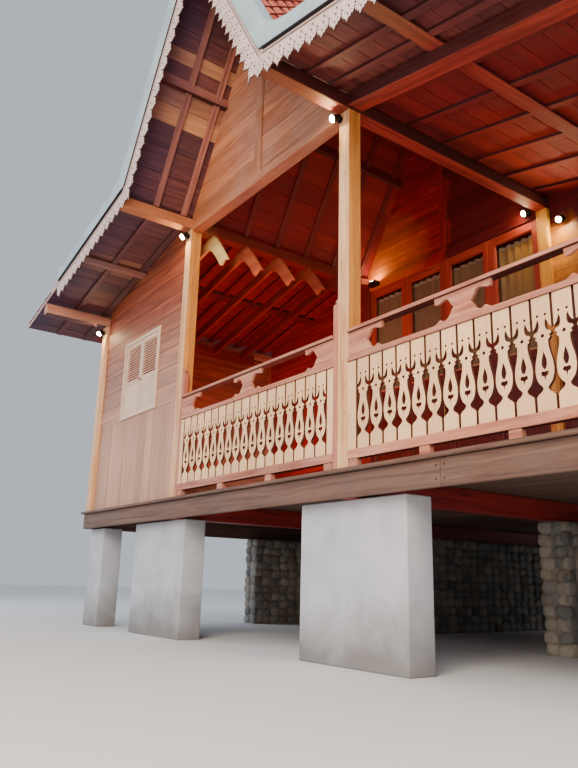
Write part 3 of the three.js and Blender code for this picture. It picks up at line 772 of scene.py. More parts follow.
def make_materials(glow):
    verge, wall, inner = FRONT_Y - 0.85, FRONT_Y + 0.05, FRONT_Y + INNER_Y
    left = (-1, 0, 0)
    # Old teak boards left to the weather: bleached pink-beige low down, orange-brown on top, partly painted
    # lamplight
    fades = [("c79a7c", 0.85, UP, FLOOR_Z + 0.7, FLOOR_Z + 2.35)]
    timber("Weathered teak", "5a2016 8c3e22 ac5a34 864838", 0.3, 0.16, 0.62, fades)
    # The gable's boards: red-brown with grey-pink bloom, and painted lamplight in orange toward the left end
    fades = [("b0602c", 0.75, left, 1.3, 0.2), ("7a140c", 0.92, BACK, wall + 0.3, wall + 0.02)]
    timber("Gable teak", "8a4e36 b2704f ca9472 b08a7a", 0.6, 0.2, 0.62, fades)
    # Oiled dark teak indoors: deep red
    timber("Oiled teak", "5c0c0c 941c16 b43224 781a18", 0.3, 0.16, 0.5)
    # The same at the back of the porch: a painted shadow right of the batten, and painted golden lamplight
    # beside its lamps
    fades = [
        ("4c080a", 0.9, ACROSS, 0.12, 0.04),
        ("e8802a", 0.95, ("from", (-1.05, inner, FLOOR_Z + 3.2)), 0.0, 0.8),
        ("f6a030", 0.95, ("from", (1.56, inner, FLOOR_Z + 2.55)), 0.15, 0.42),
    ]
    timber("Porch teak", "5c0c0c 9a1c16 bc3626 781a18", 0.3, 0.16, 0.5, fades)
    # Roof boards: brown in the overhang, painted blue skylight toward the verge, and deep red over the porch
    fades = [("2f2650", 0.85, BACK, verge - 0.1, wall - 0.3), ("860f10", 0.96, BACK, wall + 0.3, wall - 0.02)]
    timber("Left roof boards", "401c22 64302c 7c463a 562e30", 0.4, 0.15, 0.68, fades, "3c2030 b98258")
    # On the right: painted shade, dark purple, in the far overhang, and a painted pool of red lamplight by
    # the porch
    fades = [
        ("300a20", 0.88, (0.5, -0.87, 0), 2.0 + 3.606, 1.3 + 3.606),
        ("7a0e10", 0.96, BACK, wall + 0.2, wall - 0.02),
        ("b0301a", 0.85, ("from", (2.2, inner - 0.6, FLOOR_Z + 3.0)), 0.4, 1.3),
    ]
    timber("Right roof boards", "501c1a 702a24 883c30 602626", 0.4, 0.1, 0.68, fades)
    # Painted shade: a dark copy of the timber for faces turned away from the light
    timber("Painted-shade timber", "280809 46100f 601c18 380f12", 0.3, 0.15, 0.6)
    # Purlins and steep rafters of the left side: planed, pink-brown, with painted grey-blue skylight toward
    # the verge
    fades = [("54405a", 0.6, BACK, verge, wall - 0.2), ("6c0e0e", 0.95, BACK, wall + 0.2, wall - 0.02)]
    timber("Left rafters", "603028 955646 b87862 84544c", 0.4, 0.15, 0.6, fades)
    # The same on the right side: redder
    fades = [("7c4c2c", 0.8, BACK, wall - 0.4, wall)]
    timber("Right rafters", "64140f 942a1e ae3e2e 80261e", 0.3, 0.15, 0.6, fades)
    # The hooked ends: painted lamplight, yellow on the first hook, fading to painted shade along the stems
    # and deeper in
    fades = [
        ("8c2018", 0.94, left, 1.75, 1.3),
        ("741a16", 0.9, BACK, FRONT_Y + 2.1, FRONT_Y + 1.1),
        ("ffe08c", 0.95, BACK, FRONT_Y + 0.42, FRONT_Y + 0.7),
    ]
    timber("Lamplit hook teak", "b85a3c e0764e f09468 c86850", 0.3, 0.1, 0.6, fades)
    # Leaves and panels of the veranda doors: red, with painted shade that darkens them toward the foot
    fades = [("4e0c0b", 0.93, UP, FLOOR_Z + 1.5, FLOOR_Z + 2.2)]
    timber("Door teak", "742216 a83826 c04e36 8c3024", 0.3, 0.12, 0.5, fades)
    # Limewashed posts: pale peach with brown grain
    timber("Limewashed teak", "b06c3c e2a872 f6cda0 e6b78e", 0.6, 0.1, 0.66, cracks=0.8)
    # Painted lamplight: an orange copy for the post sides that face the porch's lamps, golden nearest the
    # lamp
    fades = [("ffb838", 0.95, ("from", (1.42, inner, FLOOR_Z + 2.85)), 0.2, 0.9)]
    timber("Lamplit post teak", "9c5420 d28436 eaa654 d69450", 0.4, 0.1, 0.6, fades, cracks=0.6)
    # Rails and plates: pink-brown, half bleached
    timber("Bleached teak", "8a4938 bb745a d39a7e c08c7a", 0.5, 0.12, 0.68)
    # The edge boards and the deck's ledge: greyer and darker, splashed by rain
    timber("Rain-grey teak", "4a3028 6c4d3e 846455 64524a", 0.5, 0.1, 0.74)
    # Painted balusters: cream, worn to pink wood; the dark sawn edges are partly painted shade in the gaps
    old_paint("Cream oil paint", "f8c896 cc8e66 5d2c1c", 0.45)
    # Shutters: thin pink-beige paint over the same boards as the wall
    old_paint("Shutter paint", "e0c2a8 b98767 8a5a42", 0.6)
    # Lace boards: old white paint gone pink; the dark sawn edges are partly painted shade
    old_paint("Old white paint", "e2c8c0 b58f86 4b2c28", 0.45)
    # Verge boards: the same paint, worn thin
    old_paint("Worn verge paint", "c8aca2 94705f 94705f", 0.7)
    # Painted shade: near-black for the coping lips' undersides and the shadow line under the verge boards
    rendered("Painted-shade black", "1c1a22 2a2026", 0.9, 60.0)
    # Smooth cement coping: pale blue-grey
    rendered("Trowelled cement", "b2c4cd 94a8b0", 0.8, 80.0)
    # Whitewashed piers over river soil
    rendered("Whitewashed render", "c6c8cf a9abb4 6f675f", 0.88, 60.0)
    # Lime mortar between cobbles
    rendered("Lime mortar", "8d8a84 6f6c67", 0.92, 45.0)
    fired_clay("Unglazed terracotta")
    river_stone("River cobble")
    cotton("Cotton curtain")
    float_glass("Float glass")
    cast_metal("Blackened iron", "2a2826 453c36", 0.5)
    cast_metal("Aged brass", "a8803c 6e5630", 0.35)
    lamp_lens("Lit lamp lens", glow)


# Roof lines


def soffit(x):
    run = MIDDLE_X - abs(x)
    return KINK_Z + run * (STEEP if run > 0 else SKIRT)


def on_slope(x, over, steep):
    """Height of a line offset square to a slope's underside by over."""
    tan, cos = (STEEP, STEEP_COS) if steep else (SKIRT, SKIRT_COS)
    return KINK_Z + (MIDDLE_X - abs(x)) * tan + over / cos


def kink_x(over, skirt_over=None):
    """Where a line offset out of the soffit turns, with another offset on the skirt if it is given."""
    skirt_over = over if skirt_over is None else skirt_over
    return MIDDLE_X + (over / STEEP_COS - skirt_over / SKIRT_COS) / (STEEP - SKIRT)


def slope_axes(sign, steep):
    """Down the slope, and out of it."""
    tan, cos = (STEEP, STEEP_COS) if steep else (SKIRT, SKIRT_COS)
    return Vector((sign * cos, 0, -tan * cos)), Vector((sign * tan * cos, 0, cos))


def slope_top(sign, steep):
    """Where a slope's underside starts: at the ridge or at the kink."""
    return Vector((0, 0, soffit(0))) if steep else Vector((sign * MIDDLE_X, 0, KINK_Z))


def slope_name(side, steep):
    return f"{side}_{'steep' if steep else 'skirt'}"


def strip(sign, steep, along, over):
    """A four-cornered section in x and z, from along[0] to along[1] down a slope."""
    down, out = slope_axes(sign, steep)
    points = []
    for a, b in ((along[0], over[0]), (along[1], over[0]), (along[1], over[1]), (along[0], over[1])):
        point = slope_top(sign, steep) + down * a + out * b
        points.append((point.x, point.z))
    return outward(points)


class HOUSE_OT_sheathing(bpy.types.Operator):
    """Boards, rafters and purlins under the four slopes"""

    bl_idname = "house.sheathing"
    bl_label = "Sheathing and rafters"

    # Front edges of the two rafters in the overhang, of the first rafter behind it and of the last before the
    # middle, and the rafters' width and spacing
    FIRST, LAST = 0.27, 3.49
    WIDE, PITCH = 0.07, 0.46
    AHEAD = {"steep": (-0.47, -0.12), "left": (-0.435, -0.055), "right": (-0.435, -0.19)}
    # The purlins' edges, the underside of the steep ones and the depth of the others
    PURLIN_FOOT, PURLIN_DEEP = 4.31, 0.038
    PURLIN = {"steep": (0.70, 0.765), "left": (2.595, 2.74), "right": (2.385, 2.53)}
    # Lower edges of the steep slopes' boards down from the ridge, each with its tone from 0 dark to 1 pale
    BOARDS = (
        (0.21, 0.4), (0.44, 0.25), (0.68, 0.45), (0.91, 0.2), (1.10, 0.4), (1.25, 0.95), (1.50, 0.45),
        (1.69, 0.85), (1.89, 1.0), (2.14, 0.1), (2.41, 0.25), (2.62, 0.45),
        (MIDDLE_X / STEEP_COS - 0.004, 0.6),
    )

    def execute(self, context):
        for slope in SLOPES:
            self.boards(*slope, context.scene.house_roof.sheathing)
            self.rafters(*slope)
            self.purlin(*slope)
        return {"FINISHED"}

    def boards(self, side, sign, steep, width):
        """The boards, and behind them the bed that closes their joints."""
        name = slope_name(side, steep)
        material = f"{side.capitalize()} roof boards"
        joint, face = 0.004, (0.001, 0.02)
        tones = None
        if steep:
            length = MIDDLE_X / STEEP_COS
            solids = Solids()
            tones = [tone for _, tone in self.BOARDS]
            head = 0.002
            for foot, _ in self.BOARDS:
                solids.plate(strip(sign, steep, (head, foot - joint), face), ROOF_Y)
                head = foot
            boards = solids.shown(f"{name}_boards")
        else:
            length = (EAVE - MIDDLE_X) / SKIRT_COS - 0.02
            count = round(length / width)
            step = length / count
            board = Solids().plate(strip(sign, steep, (0.002, step - joint), face), ROOF_Y)
            boards = rows(f"{name}_boards", board, material, slope_axes(sign, steep)[0] * step, count)
        seed, node = 11 + sign + steep, f"{name}_roof"
        dress(boards, material, node, bevel=0.002, direction=BACK, seed=seed, tones=tones)
        bed = Solids().plate(strip(sign, steep, (0.0, length - joint), (0.0205, 0.033)), ROOF_Y)
        dress(bed.shown(f"{name}_roof_bed"), material, direction=BACK)

    def rafters(self, side, sign, steep):
        fronts = [*self.AHEAD["steep" if steep else side], self.LAST]
        fronts[2:2] = [self.FIRST + self.PITCH * n for n in range(6)]
        length = MIDDLE_X / STEEP_COS + 0.03 if steep else (EAVE - 0.06 - MIDDLE_X) / SKIRT_COS
        deep = 0.03 if steep else 0.03 * SKIRT_COS
        section = strip(sign, steep, (0.012, length), (-deep, 0.0))
        solids = Solids()
        for y in fronts:
            solids.plate(section, (y, y + self.WIDE))
            solids.plate(section, in_depth((y, y + self.WIDE), True))
        piece = solids.shown(f"{slope_name(side, steep)}_rafters")
        material = f"{side.capitalize()} {'rafters' if steep else 'roof boards'}"
        dress(piece, material, bevel=0.003, seed=23 + sign + steep)
        # Painted shade on the front faces of the skirt rafters
        if not steep:
            two_tone(piece, "Painted-shade timber", (0, -1, 0))

    def purlin(self, side, sign, steep):
        near, far = self.PURLIN["steep" if steep else side]
        low = [self.PURLIN_FOOT if steep else soffit(x) - self.PURLIN_DEEP for x in (near, far)]
        ring = [(near, low[0]), (far, low[1]), (far, soffit(far)), (near, soffit(near))]
        solids = Solids().plate(outward([(sign * x, z) for x, z in ring]), ROOF_Y)
        piece = solids.shown(f"{slope_name(side, steep)}_purlin")
        dress(piece, f"{side.capitalize()} rafters", bevel=0.004, seed=27 + sign + steep)
        # Painted shade: the faces that look away from the porch's light get the dark timber
        for way in ([(0, 0, -1)] if steep else [(1, 0, 0), (-1, 0, 0)]):
            two_tone(piece, "Painted-shade timber", way)


class HOUSE_OT_tiles(bpy.types.Operator):
    """Wavy clay tiles on the four slopes"""

    bl_idname = "house.tiles"
    bl_label = "Roof tiles"

    def execute(self, context):
        roof = context.scene.house_roof
        pitch = (ROOF_Y[1] - ROOF_Y[0]) / roof.columns
        for side, sign, steep in SLOPES:
            down, out = slope_axes(sign, steep)
            if steep:
                start = slope_top(sign, steep) + down * 0.03
                # The lowest row ends over the head of the skirt
                length = MIDDLE_X / STEEP_COS - 0.1
                count = roof.steep_rows
            else:
                x = kink_x(0.05)
                start = Vector((sign * x, 0, on_slope(x, 0, False)))
                length = (EAVE - x) / SKIRT_COS - 0.03
                count = roof.skirt_rows
            start.y = ROOF_Y[0]
            step = length / count
            piece = rows(
                f"{slope_name(side, steep)}_tiles", self.tile(start, down, out, step, pitch, roof.wave),
                "Unglazed terracotta", (0, pitch, 0), roof.columns, row_step=down * step, rows=count,
                place=(0.0, 0.002, 0.0), seed=31 + sign + steep,
            )
            seed = 41 + sign + steep
            # The tiles' edges are marked for the painted shade in the laps
            dress(piece, "Unglazed terracotta", direction=down, smooth=50, seed=seed, face=out)
        return {"FINISHED"}

    def tile(self, start, down, out, step, pitch, wave):
        """One tile: a wave across, a lip at its lower end, lying on the row below."""
        across, thick, lap = 8, 0.012, 0.004
        top = []
        for along, rise in ((0.0, 0.048), (step, 0.048 + thick + lap)):
            for n in range(across + 1):
                y = pitch * (n / across * 1.02 - 0.01)
                height = rise + wave * 0.5 * math.sin(2 * math.pi * n / across)
                top.append(start + Vector((0, y, 0)) + down * along + out * (height + thick))
        row, base = across + 1, len(top)
        faces = []
        for n in range(across):
            quad = (n, row + n, row + n + 1, n + 1)
            lip = (row + n, base + row + n, base + row + n + 1, row + n + 1)
            faces += [quad, [base + k for k in quad[::-1]], lip, (n, n + 1, base + n + 1, base + n)]
        faces.append((0, base, base + row, row))
        faces.append((row + across, base + row + across, base + across, across))
        if down.cross(Vector(BACK)).dot(out) < 0:
            faces = [face[::-1] for face in faces]
        return Solids().add(top + [point - out * thick for point in top], faces)


def along_gable(section, end):
    """A section of y and distances out of the steep and skirt soffits, swept from skirt end to skirt end."""
    points = []
    for place in (-2, -1, 0, 1, 2):
        for y, steep_over, skirt_over in section:
            bend = kink_x(steep_over, skirt_over)
            x = (0.0, bend, end)[abs(place)] * (1 if place > 0 else -1)
            over = skirt_over if abs(place) == 2 else steep_over
            points.append((x, y, on_slope(x, over, abs(place) < 2)))
    n = len(section)
    faces = [list(range(n))[::-1], list(range(4 * n, 5 * n))]
    for k in range(4 * n):
        m = k - k % n + (k + 1) % n
        faces.append((k, m, m + n, k + n))
    return Solids().add(points, faces)


def in_depth(y, rear):
    """A span of y at the front, or the same span at the rear."""
    return (DEPTH - y[1], DEPTH - y[0]) if rear else y


class HOUSE_OT_copings(bpy.types.Operator):
    """Smooth cement copings on the verges and the ridge"""

    bl_idname = "house.copings"
    bl_label = "Copings"

    def execute(self, context):
        top, under = ROOF_THICK + 0.06, ROOF_THICK + 0.0005
        # The lip's foot hangs below the soffit line on the steep slopes and stops over it on the skirts
        foot = (-0.025, 0.018)
        for end, rear in ENDS:
            out, lip, cap = (DEPTH - y if rear else y for y in (-OVERHANG, -0.825, -0.72))
            section = [(out, *foot), (lip, *foot)]
            section += [(y, over, over) for y, over in ((lip, under), (cap, under), (cap, top), (out, top))]
            if rear:
                section.reverse()
            piece = along_gable(section, LACE_END).shown(f"{end}_coping_finished")
            dress(piece, "Trowelled cement", f"{end}_coping", bevel=0.012, segments=3, smooth=40)
            # Painted shade: the underside of the lip is made nearly black
            corners = Solids()
            for _, sign in SIDES:
                for steep in (True, False):
                    two_tone(piece, "Painted-shade black", -slope_axes(sign, steep)[1], 0.95)
                self.corner(corners, sign, sorted((out, cap)), top)
            dress(corners.shown(f"{end}_coping_corners"), "Trowelled cement", smooth=40)
        ridge = copy_of("ridge_cap", "ridge_cap_finished")
        dress(ridge, "Trowelled cement", "ridge_cap", bevel=0.012, segments=3, smooth=40)
        return {"FINISHED"}

    def corner(self, solids, sign, y, top):
        """Cement rounded into the kink, 0.24 m up the steep slope and as far out along the skirt."""
        size, steps = 0.24, 8
        bend = kink_x(top)
        middle = Vector((bend, on_slope(bend, top, True)))
        upper = middle + Vector((-STEEP_COS, STEEP * STEEP_COS)) * size
        lower = middle + Vector((SKIRT_COS, -SKIRT * SKIRT_COS)) * size
        ring = []
        for n in range(steps + 1):
            share = n / steps
            ring.append(upper * (1 - share) ** 2 + middle * (2 * share * (1 - share)) + lower * share ** 2)
        sunk = [lower - Vector((0, 0.01)), middle - Vector((0, 0.012)), upper - Vector((0.0, 0.02))]
        outline = [(sign * point.x, point.y) for point in ring + sunk]
        solids.plate(outward(outline), (y[0] + 0.0005, y[1] - 0.0005))


class HOUSE_OT_lace(bpy.types.Operator):
    """Thin verge boards and the pierced leaves that hang from them"""

    bl_idname = "house.lace"
    bl_label = "Verge lace"

    # Depth of the board and of the line that the leaves hang from, under the soffit line
    BOARD = {True: 0.066, False: 0.0165}
    LINE = {True: 0.0705, False: 0.033}
    HANG = {True: 0.071, False: 0.048}
    # The board starts just under the soffit line, and runs on past the leaves to where the tail begins
    FLUSH = {True: 0.0004, False: 0.0004}
    TAIL_X = 3.4

    def execute(self, context):
        for end, rear in ENDS:
            boards, line, head = Solids(), Solids(), Solids()
            board_y = in_depth((-0.844, -0.828), rear)
            for _, sign in SIDES:
                self.band(boards, sign, board_y, self.FLUSH, self.BOARD, self.TAIL_X)
                self.band(line, sign, in_depth((-0.833, -0.827), rear), self.BOARD, self.HANG, LACE_END)
                self.band(head, sign, in_depth((-0.8435, -0.8335), rear), self.LINE, self.HANG, LACE_END)
                tip = EAVE - 0.03
                tail = [(self.TAIL_X, 0.0004), (tip, 0.0004), (tip, 0.022), (self.TAIL_X, 0.022)]
                boards.plate(self.ring(sign, tail), board_y)
                near, far = LACE_END + 0.002, 3.6
                end_piece = [(near, -0.06), (far, -0.052), (far, -0.0005), (near, -0.0005)]
                boards.plate(self.ring(sign, end_piece), in_depth((-0.842, -0.826), rear))
            dress(boards.shown(f"{end}_verge_boards"), "Worn verge paint", bevel=0.002)
            # Painted shadow line: the strip between the verge board and the leaves is near-black
            dress(line.shown(f"{end}_verge_line"), "Painted-shade black")
            dress(head.shown(f"{end}_lace_head"), "Old white paint")
            pieces = [self.pendant(in_depth((-0.845, -0.833), rear))]
            for _, sign, steep in SLOPES:
                leaf_y = (-0.8445, -0.8325) if steep else (-0.846, -0.834)
                pieces += self.leaves(sign, steep, in_depth(leaf_y, rear))
            lace, node = joined(f"{end}_verge_lace", pieces), f"{end}_verge_board"
            # The leaves' sawn edges take the dark edge colour, partly painted shade in the holes
            dress(lace, "Old white paint", node, direction=UP, seed=5, face=BACK)
        return {"FINISHED"}

    def ring(self, sign, places):
        """An outline on a skirt from places along it and depths under its soffit line."""
        return outward([(sign * x, on_slope(x, -under, False)) for x, under in places])

    def band(self, solids, sign, y, upper, lower, end):
        """A strip under one half of the gable, between two depths that differ on the two slopes."""
        lines = []
        for under in (upper, lower):
            bend = kink_x(-0.5 * (under[True] + under[False]))
            places = ((0.0, True), (bend, True), (bend, False), (end, False))
            lines.append([(x, on_slope(x, -under[steep], steep)) for x, steep in places])
        if upper[True] == upper[False]:
            lines[0].pop(1)
        solids.plate(outward([(sign * x, z) for x, z in lines[0] + lines[1][::-1]]), y)

    def pendant(self, y):
        """The pierced board that fills the peak between the two rows of leaves."""
        down, out = slope_axes(1, True)
        start = Vector((0, 0, on_slope(0, -self.HANG[True], True)))
        side = start + down * 0.39
        notch = side - out * 0.112
        left = [(-side.x, side.z), (-notch.x, notch.z), (-notch.x * 0.5, notch.z - 0.04)]
        ring = [(0, start.z)] + left + [(0, notch.z - 0.13)] + [(-x, z) for x, z in left[::-1]]
        holes = ((0, 0.17), (0.05, 0.25), (-0.05, 0.25), (0, 0.33), (0, 0.43))
        solids = Solids().plate(ring, y, [octagon(x, start.z - under, 0.014) for x, under in holes])
        return solids.shown("pendant", "Old white paint")

    def leaves(self, sign, steep, y):
        """One slope's leaves, each 140 mm wide and stepped to a sharp tip."""
        down, out = slope_axes(sign, steep)
        count = 17 if steep else 15
        shift = 2.749 - 17 * LACE_PITCH if steep else -0.012
        start = slope_top(sign, steep) + down * shift - out * self.HANG[steep]
        half = [
            (0.5, 0.0), (0.5, 0.066), (0.425, 0.070), (0.425, 0.081), (0.5, 0.085), (0.5, 0.092),
            (0.44, 0.096), (0.44, 0.106), (0.5, 0.110), (0.44, 0.118), (0.385, 0.143), (0.28, 0.134),
            (0.235, 0.159), (0.125, 0.153),
        ]
        holes = ((0, 0.024, 0.011), (0, 0.070, 0.0105), (0.24, 0.046, 0.006))
        holes += ((-0.24, 0.046, 0.006), (0.2, 0.108, 0.0065), (-0.2, 0.108, 0.0065))

        def laid(places):
            """An outline on the slope, from places in leaves along it and metres under it."""
            points = [start + down * (u * LACE_PITCH) - out * d for u, d in places]
            return [(point.x, point.z) for point in points]

        dots = [laid(octagon(u, d, size, LACE_PITCH)) for u, d, size in holes]
        drop = laid([(0, 0.113), (0.06, 0.132), (0, 0.144), (-0.06, 0.132)])
        leaf = Solids().plate(laid(mirrored(half, (0.0, 0.188))), y, dots + [drop])
        leaves = [rows("leaves", leaf, "Old white paint", down * LACE_PITCH, count)]
        if steep:
            # The last leaf of the steep row leans over the corner, with a longer tip
            last = Solids().plate(laid(mirrored(half, (0.42, 0.206))), y, dots)
            last.turned(Matrix.Translation(down * (LACE_PITCH * count)))
            leaves.append(last.shown("corner_leaf", "Old white paint"))
        return leaves


def plank(sizes, groove, depth=0.006):
    """A board's section, across and through, stepped so that its neighbour's edge closes the groove."""
    wide, thick = sizes
    face, core = wide / 2 - groove / 2, wide / 2 - 0.00015
    out, step = thick / 2, thick / 2 - depth
    return [
        (-face, -out), (face, -out), (face, -step), (core, -step), (core, step), (face, step), (face, out),
        (-face, out), (-face, step), (-core, step), (-core, -step), (-face, -step),
    ]


def boarding(name, node, x, y, z, across, width, groove, seed=1):
    """Boards over a stretch of a wall with limits x, y and z. They follow one another on the axis across."""
    limits = {"x": x, "y": y, "z": z}
    thin = min(limits, key=lambda k: abs(limits[k][1] - limits[k][0]))
    length = ({"x", "y", "z"} - {thin, across}).pop()
    low, high = limits[across]
    count = max(1, round((high - low) / width))
    step = (high - low) / count
    section = plank((step, abs(limits[thin][1] - limits[thin][0]) - 0.006), groove)
    points = []
    for end in limits[length]:
        for a, b in section:
            place = {across: low + step / 2 + a, thin: sum(limits[thin]) / 2 + b, length: end}
            points.append([place[axis] for axis in limits])
    n = len(section)
    faces = [list(range(n)), list(range(n, 2 * n))[::-1]]
    faces += [(k, n + k, n + (k + 1) % n, (k + 1) % n) for k in range(n)]
    solids = Solids().add(points, faces)
    if solids.volume() < 0:
        solids.faces = [face[::-1] for face in solids.faces]
    move = [step if axis == across else 0 for axis in limits]
    uneven = [0.0025 if axis == thin else 0 for axis in limits]
    return rows(name, solids, "Weathered teak", move, count, place=uneven, seed=seed, wall=node)


class HOUSE_OT_walls(bpy.types.Operator):
    """Board walls, the gables and the posts that stand in the walls"""

    bl_idname = "house.walls"
    bl_label = "Walls and gables"

    def execute(self, context):
        settings = context.scene.house_timber
        width, groove = settings.wall_board, settings.groove
        bay = (MIDDLE_X + POST / 2 - 0.01, OUTER_X - POST / 2 + 0.01)
        left = (-bay[1], -bay[0])
        front, rear = (0.045, 0.085), (DEPTH - 0.085, DEPTH - 0.045)
        inner = (INNER_Y + front[0], INNER_Y + front[1])
        # The front wall's boards stand upright below the window and lie level above its sill
        sill, low, high = 1.085, -0.01, 3.5
        parts = [(left, front, (sill, high), "z", width), (left, front, (low, sill), "x", 0.2)]
        self.wall("left_front_wall", parts, "Weathered teak", "timber", groove, 3)
        parts = [(left, inner, (low, high), "z", width)]
        self.wall("left_inner_wall", parts, "Oiled teak", "dark_timber", groove, 4)
        parts = [(bay, inner, (low, high), "z", width)]
        self.wall("right_inner_wall", parts, "Porch teak", "dark_timber", groove, 5)
        for side, sign in SIDES:
            x = sorted((sign * (OUTER_X - 0.02), sign * (OUTER_X + 0.02)))
            y = (0.12 if sign < 0 else INNER_Y - 0.01, DEPTH + 0.01)
            parts = [(x, y, (low, OUTER_PLATE_Z + 0.05), "z", width)]
            self.wall(f"{side}_side_wall", parts, "Weathered teak", "timber", groove, 6 + sign)
            posts = Solids()
            for place in (INNER_Y, INNER_Y * 2, DEPTH - POST):
                x = (sign * (OUTER_X - POST / 2), sign * REACH)
                posts.block(x, (place, place + POST), (0, OUTER_PLATE_Z))
            dress(posts.shown(f"{side}_wall_posts"), "Weathered teak", bevel=0.006)
        parts = [((-bay[1], bay[1]), rear, (low, 5.7), "z", width)]
        self.wall("rear_wall", parts, "Weathered teak", "timber", groove, 9)
        posts = Solids()
        for _, sign in SIDES:
            x = (sign * (MIDDLE_X - POST / 2), sign * (MIDDLE_X + POST / 2))
            posts.block(x, (DEPTH - POST, DEPTH), (0, 3.065))
        dress(posts.shown("rear_wall_posts"), "Weathered teak", bevel=0.006)
        self.gable("front_gable", 0.0, 3.14, "Gable teak", "timber", groove, 12)
        self.gable("inner_gable", INNER_Y, 3.12, "Porch teak", "dark_timber", groove, 13)
        return {"FINISHED"}

    def wall(self, node, parts, material, slot, groove, seed):
        for number, (x, y, z, across, width) in enumerate(parts):
            piece = boarding(f"{node}_part", node, x, y, z, across, width, groove, seed + number)
            way = {"x": "upright_", "z": "level_"}[across] if len(parts) > 1 else ""
            piece.name = f"{node}_{way}boards"
            along = BACK if "side_wall" in node else ACROSS
            dress(piece, material, node, direction=UP if across == "x" else along, seed=seed)

    def gable(self, node, y, foot, material, slot, groove, seed):
        x, span, z = (-MIDDLE_X - 0.01, MIDDLE_X + 0.01), (y + 0.03, y + 0.06), (foot, 5.65)
        boards = boarding(f"{node}_boards", node, x, span, z, "z", 0.21, groove, seed)
        dress(boards, material, node, direction=ACROSS, seed=seed)
        batten = Solids().block((-0.055, 0.055), (y + 0.008, y + 0.032), (foot, soffit(0.055) - 0.08))
        dress(batten.shown(f"{node}_batten"), material, bevel=0.004)


class HOUSE_OT_timbers(bpy.types.Operator):
    """Posts, beams, plates, edge boards and the hooked rafters, with worn edges"""

    bl_idname = "house.timbers"
    bl_label = "Posts and beams"

    # Faces of another material: painted lamplight on post sides toward the porch, painted shade away from the
    # light
    SECOND = {
        "left_front_post": ("Lamplit post teak", ACROSS),
        "right_front_post": ("Lamplit post teak", ACROSS),
        "right_middle_plate": ("Painted-shade timber", ACROSS),
        "front_right_beam": ("Painted-shade timber", (0, -1, 0)),
        "left_outer_plate": ("Painted-shade timber", (0, 0, -1)),
        "right_outer_plate": ("Painted-shade timber", (0, 0, -1)),
    }

    def execute(self, context):
        worn = context.scene.house_timber.worn_edge
        wanted = {
            "Limewashed teak": [f"{side}_{place}_post" for place in ("corner", "front") for side, _ in SIDES],
            "Gable teak": ["left_inner_post", "left_middle_plate", "front_tie_beam"],
            "Lamplit post teak": ["right_inner_post"],
            "Right rafters": ["front_right_beam", "right_middle_plate"],
            "Lamplit hook teak": ["hooked_rafters"],
            "Bleached teak": ["left_outer_plate", "right_outer_plate"],
            "Rain-grey teak": ["left_floor_beam", "right_floor_beam", "rear_edge_board"],
            "Porch teak": ["inner_tie_beam"],
            "Oiled teak": ["left_middle_floor_beam", "right_middle_floor_beam"],
        }
        for number, (material, nodes) in enumerate(wanted.items()):
            for node in nodes:
                piece = copy_of(node, node + "_worn")
                dress(piece, material, node, bevel=worn, segments=2, seed=50 + number)
                second, way = self.SECOND.get(node, (None, None))
                if second:
                    two_tone(piece, second, way)
        self.edge_board()
        self.deck(context.scene.house_timber.groove)
        return {"FINISHED"}

    def edge_board(self):
        """The front edge board, in two lengths that meet right of the middle, nailed at the joint."""
        seam, joint, y, z = 2.361, 0.0015, (-0.01, 0.03), (-0.217, -0.035)
        boards = Solids().block((-REACH - 0.01, seam - joint), y, z).block((seam + joint, REACH + 0.01), y, z)
        boards = boards.shown("front_edge_boards")
        dress(boards, "Rain-grey teak", "front_edge_board", bevel=0.004)
        nail = Solids().rod((0, -0.012, 0), (0, -0.006, 0), 0.006, 8)
        nails = rows(
            "edge_nails", nail, "Blackened iron", (0.07, 0, 0), 2, start=(seam - 0.035, 0, -0.17),
            row_step=(0, 0, 0.09), rows=2,
        )
        dress(nails, "Blackened iron")

    def deck(self, groove):
        x, y = (-REACH - 0.045, REACH + 0.045), (-0.045, DEPTH + 0.045)
        floor = boarding("floor_deck_boards", "floor_deck", x, y, (-0.034, -0.0005), "y", 0.142, groove)
        dress(floor, "Rain-grey teak", "floor_deck", direction=ACROSS, seed=60)


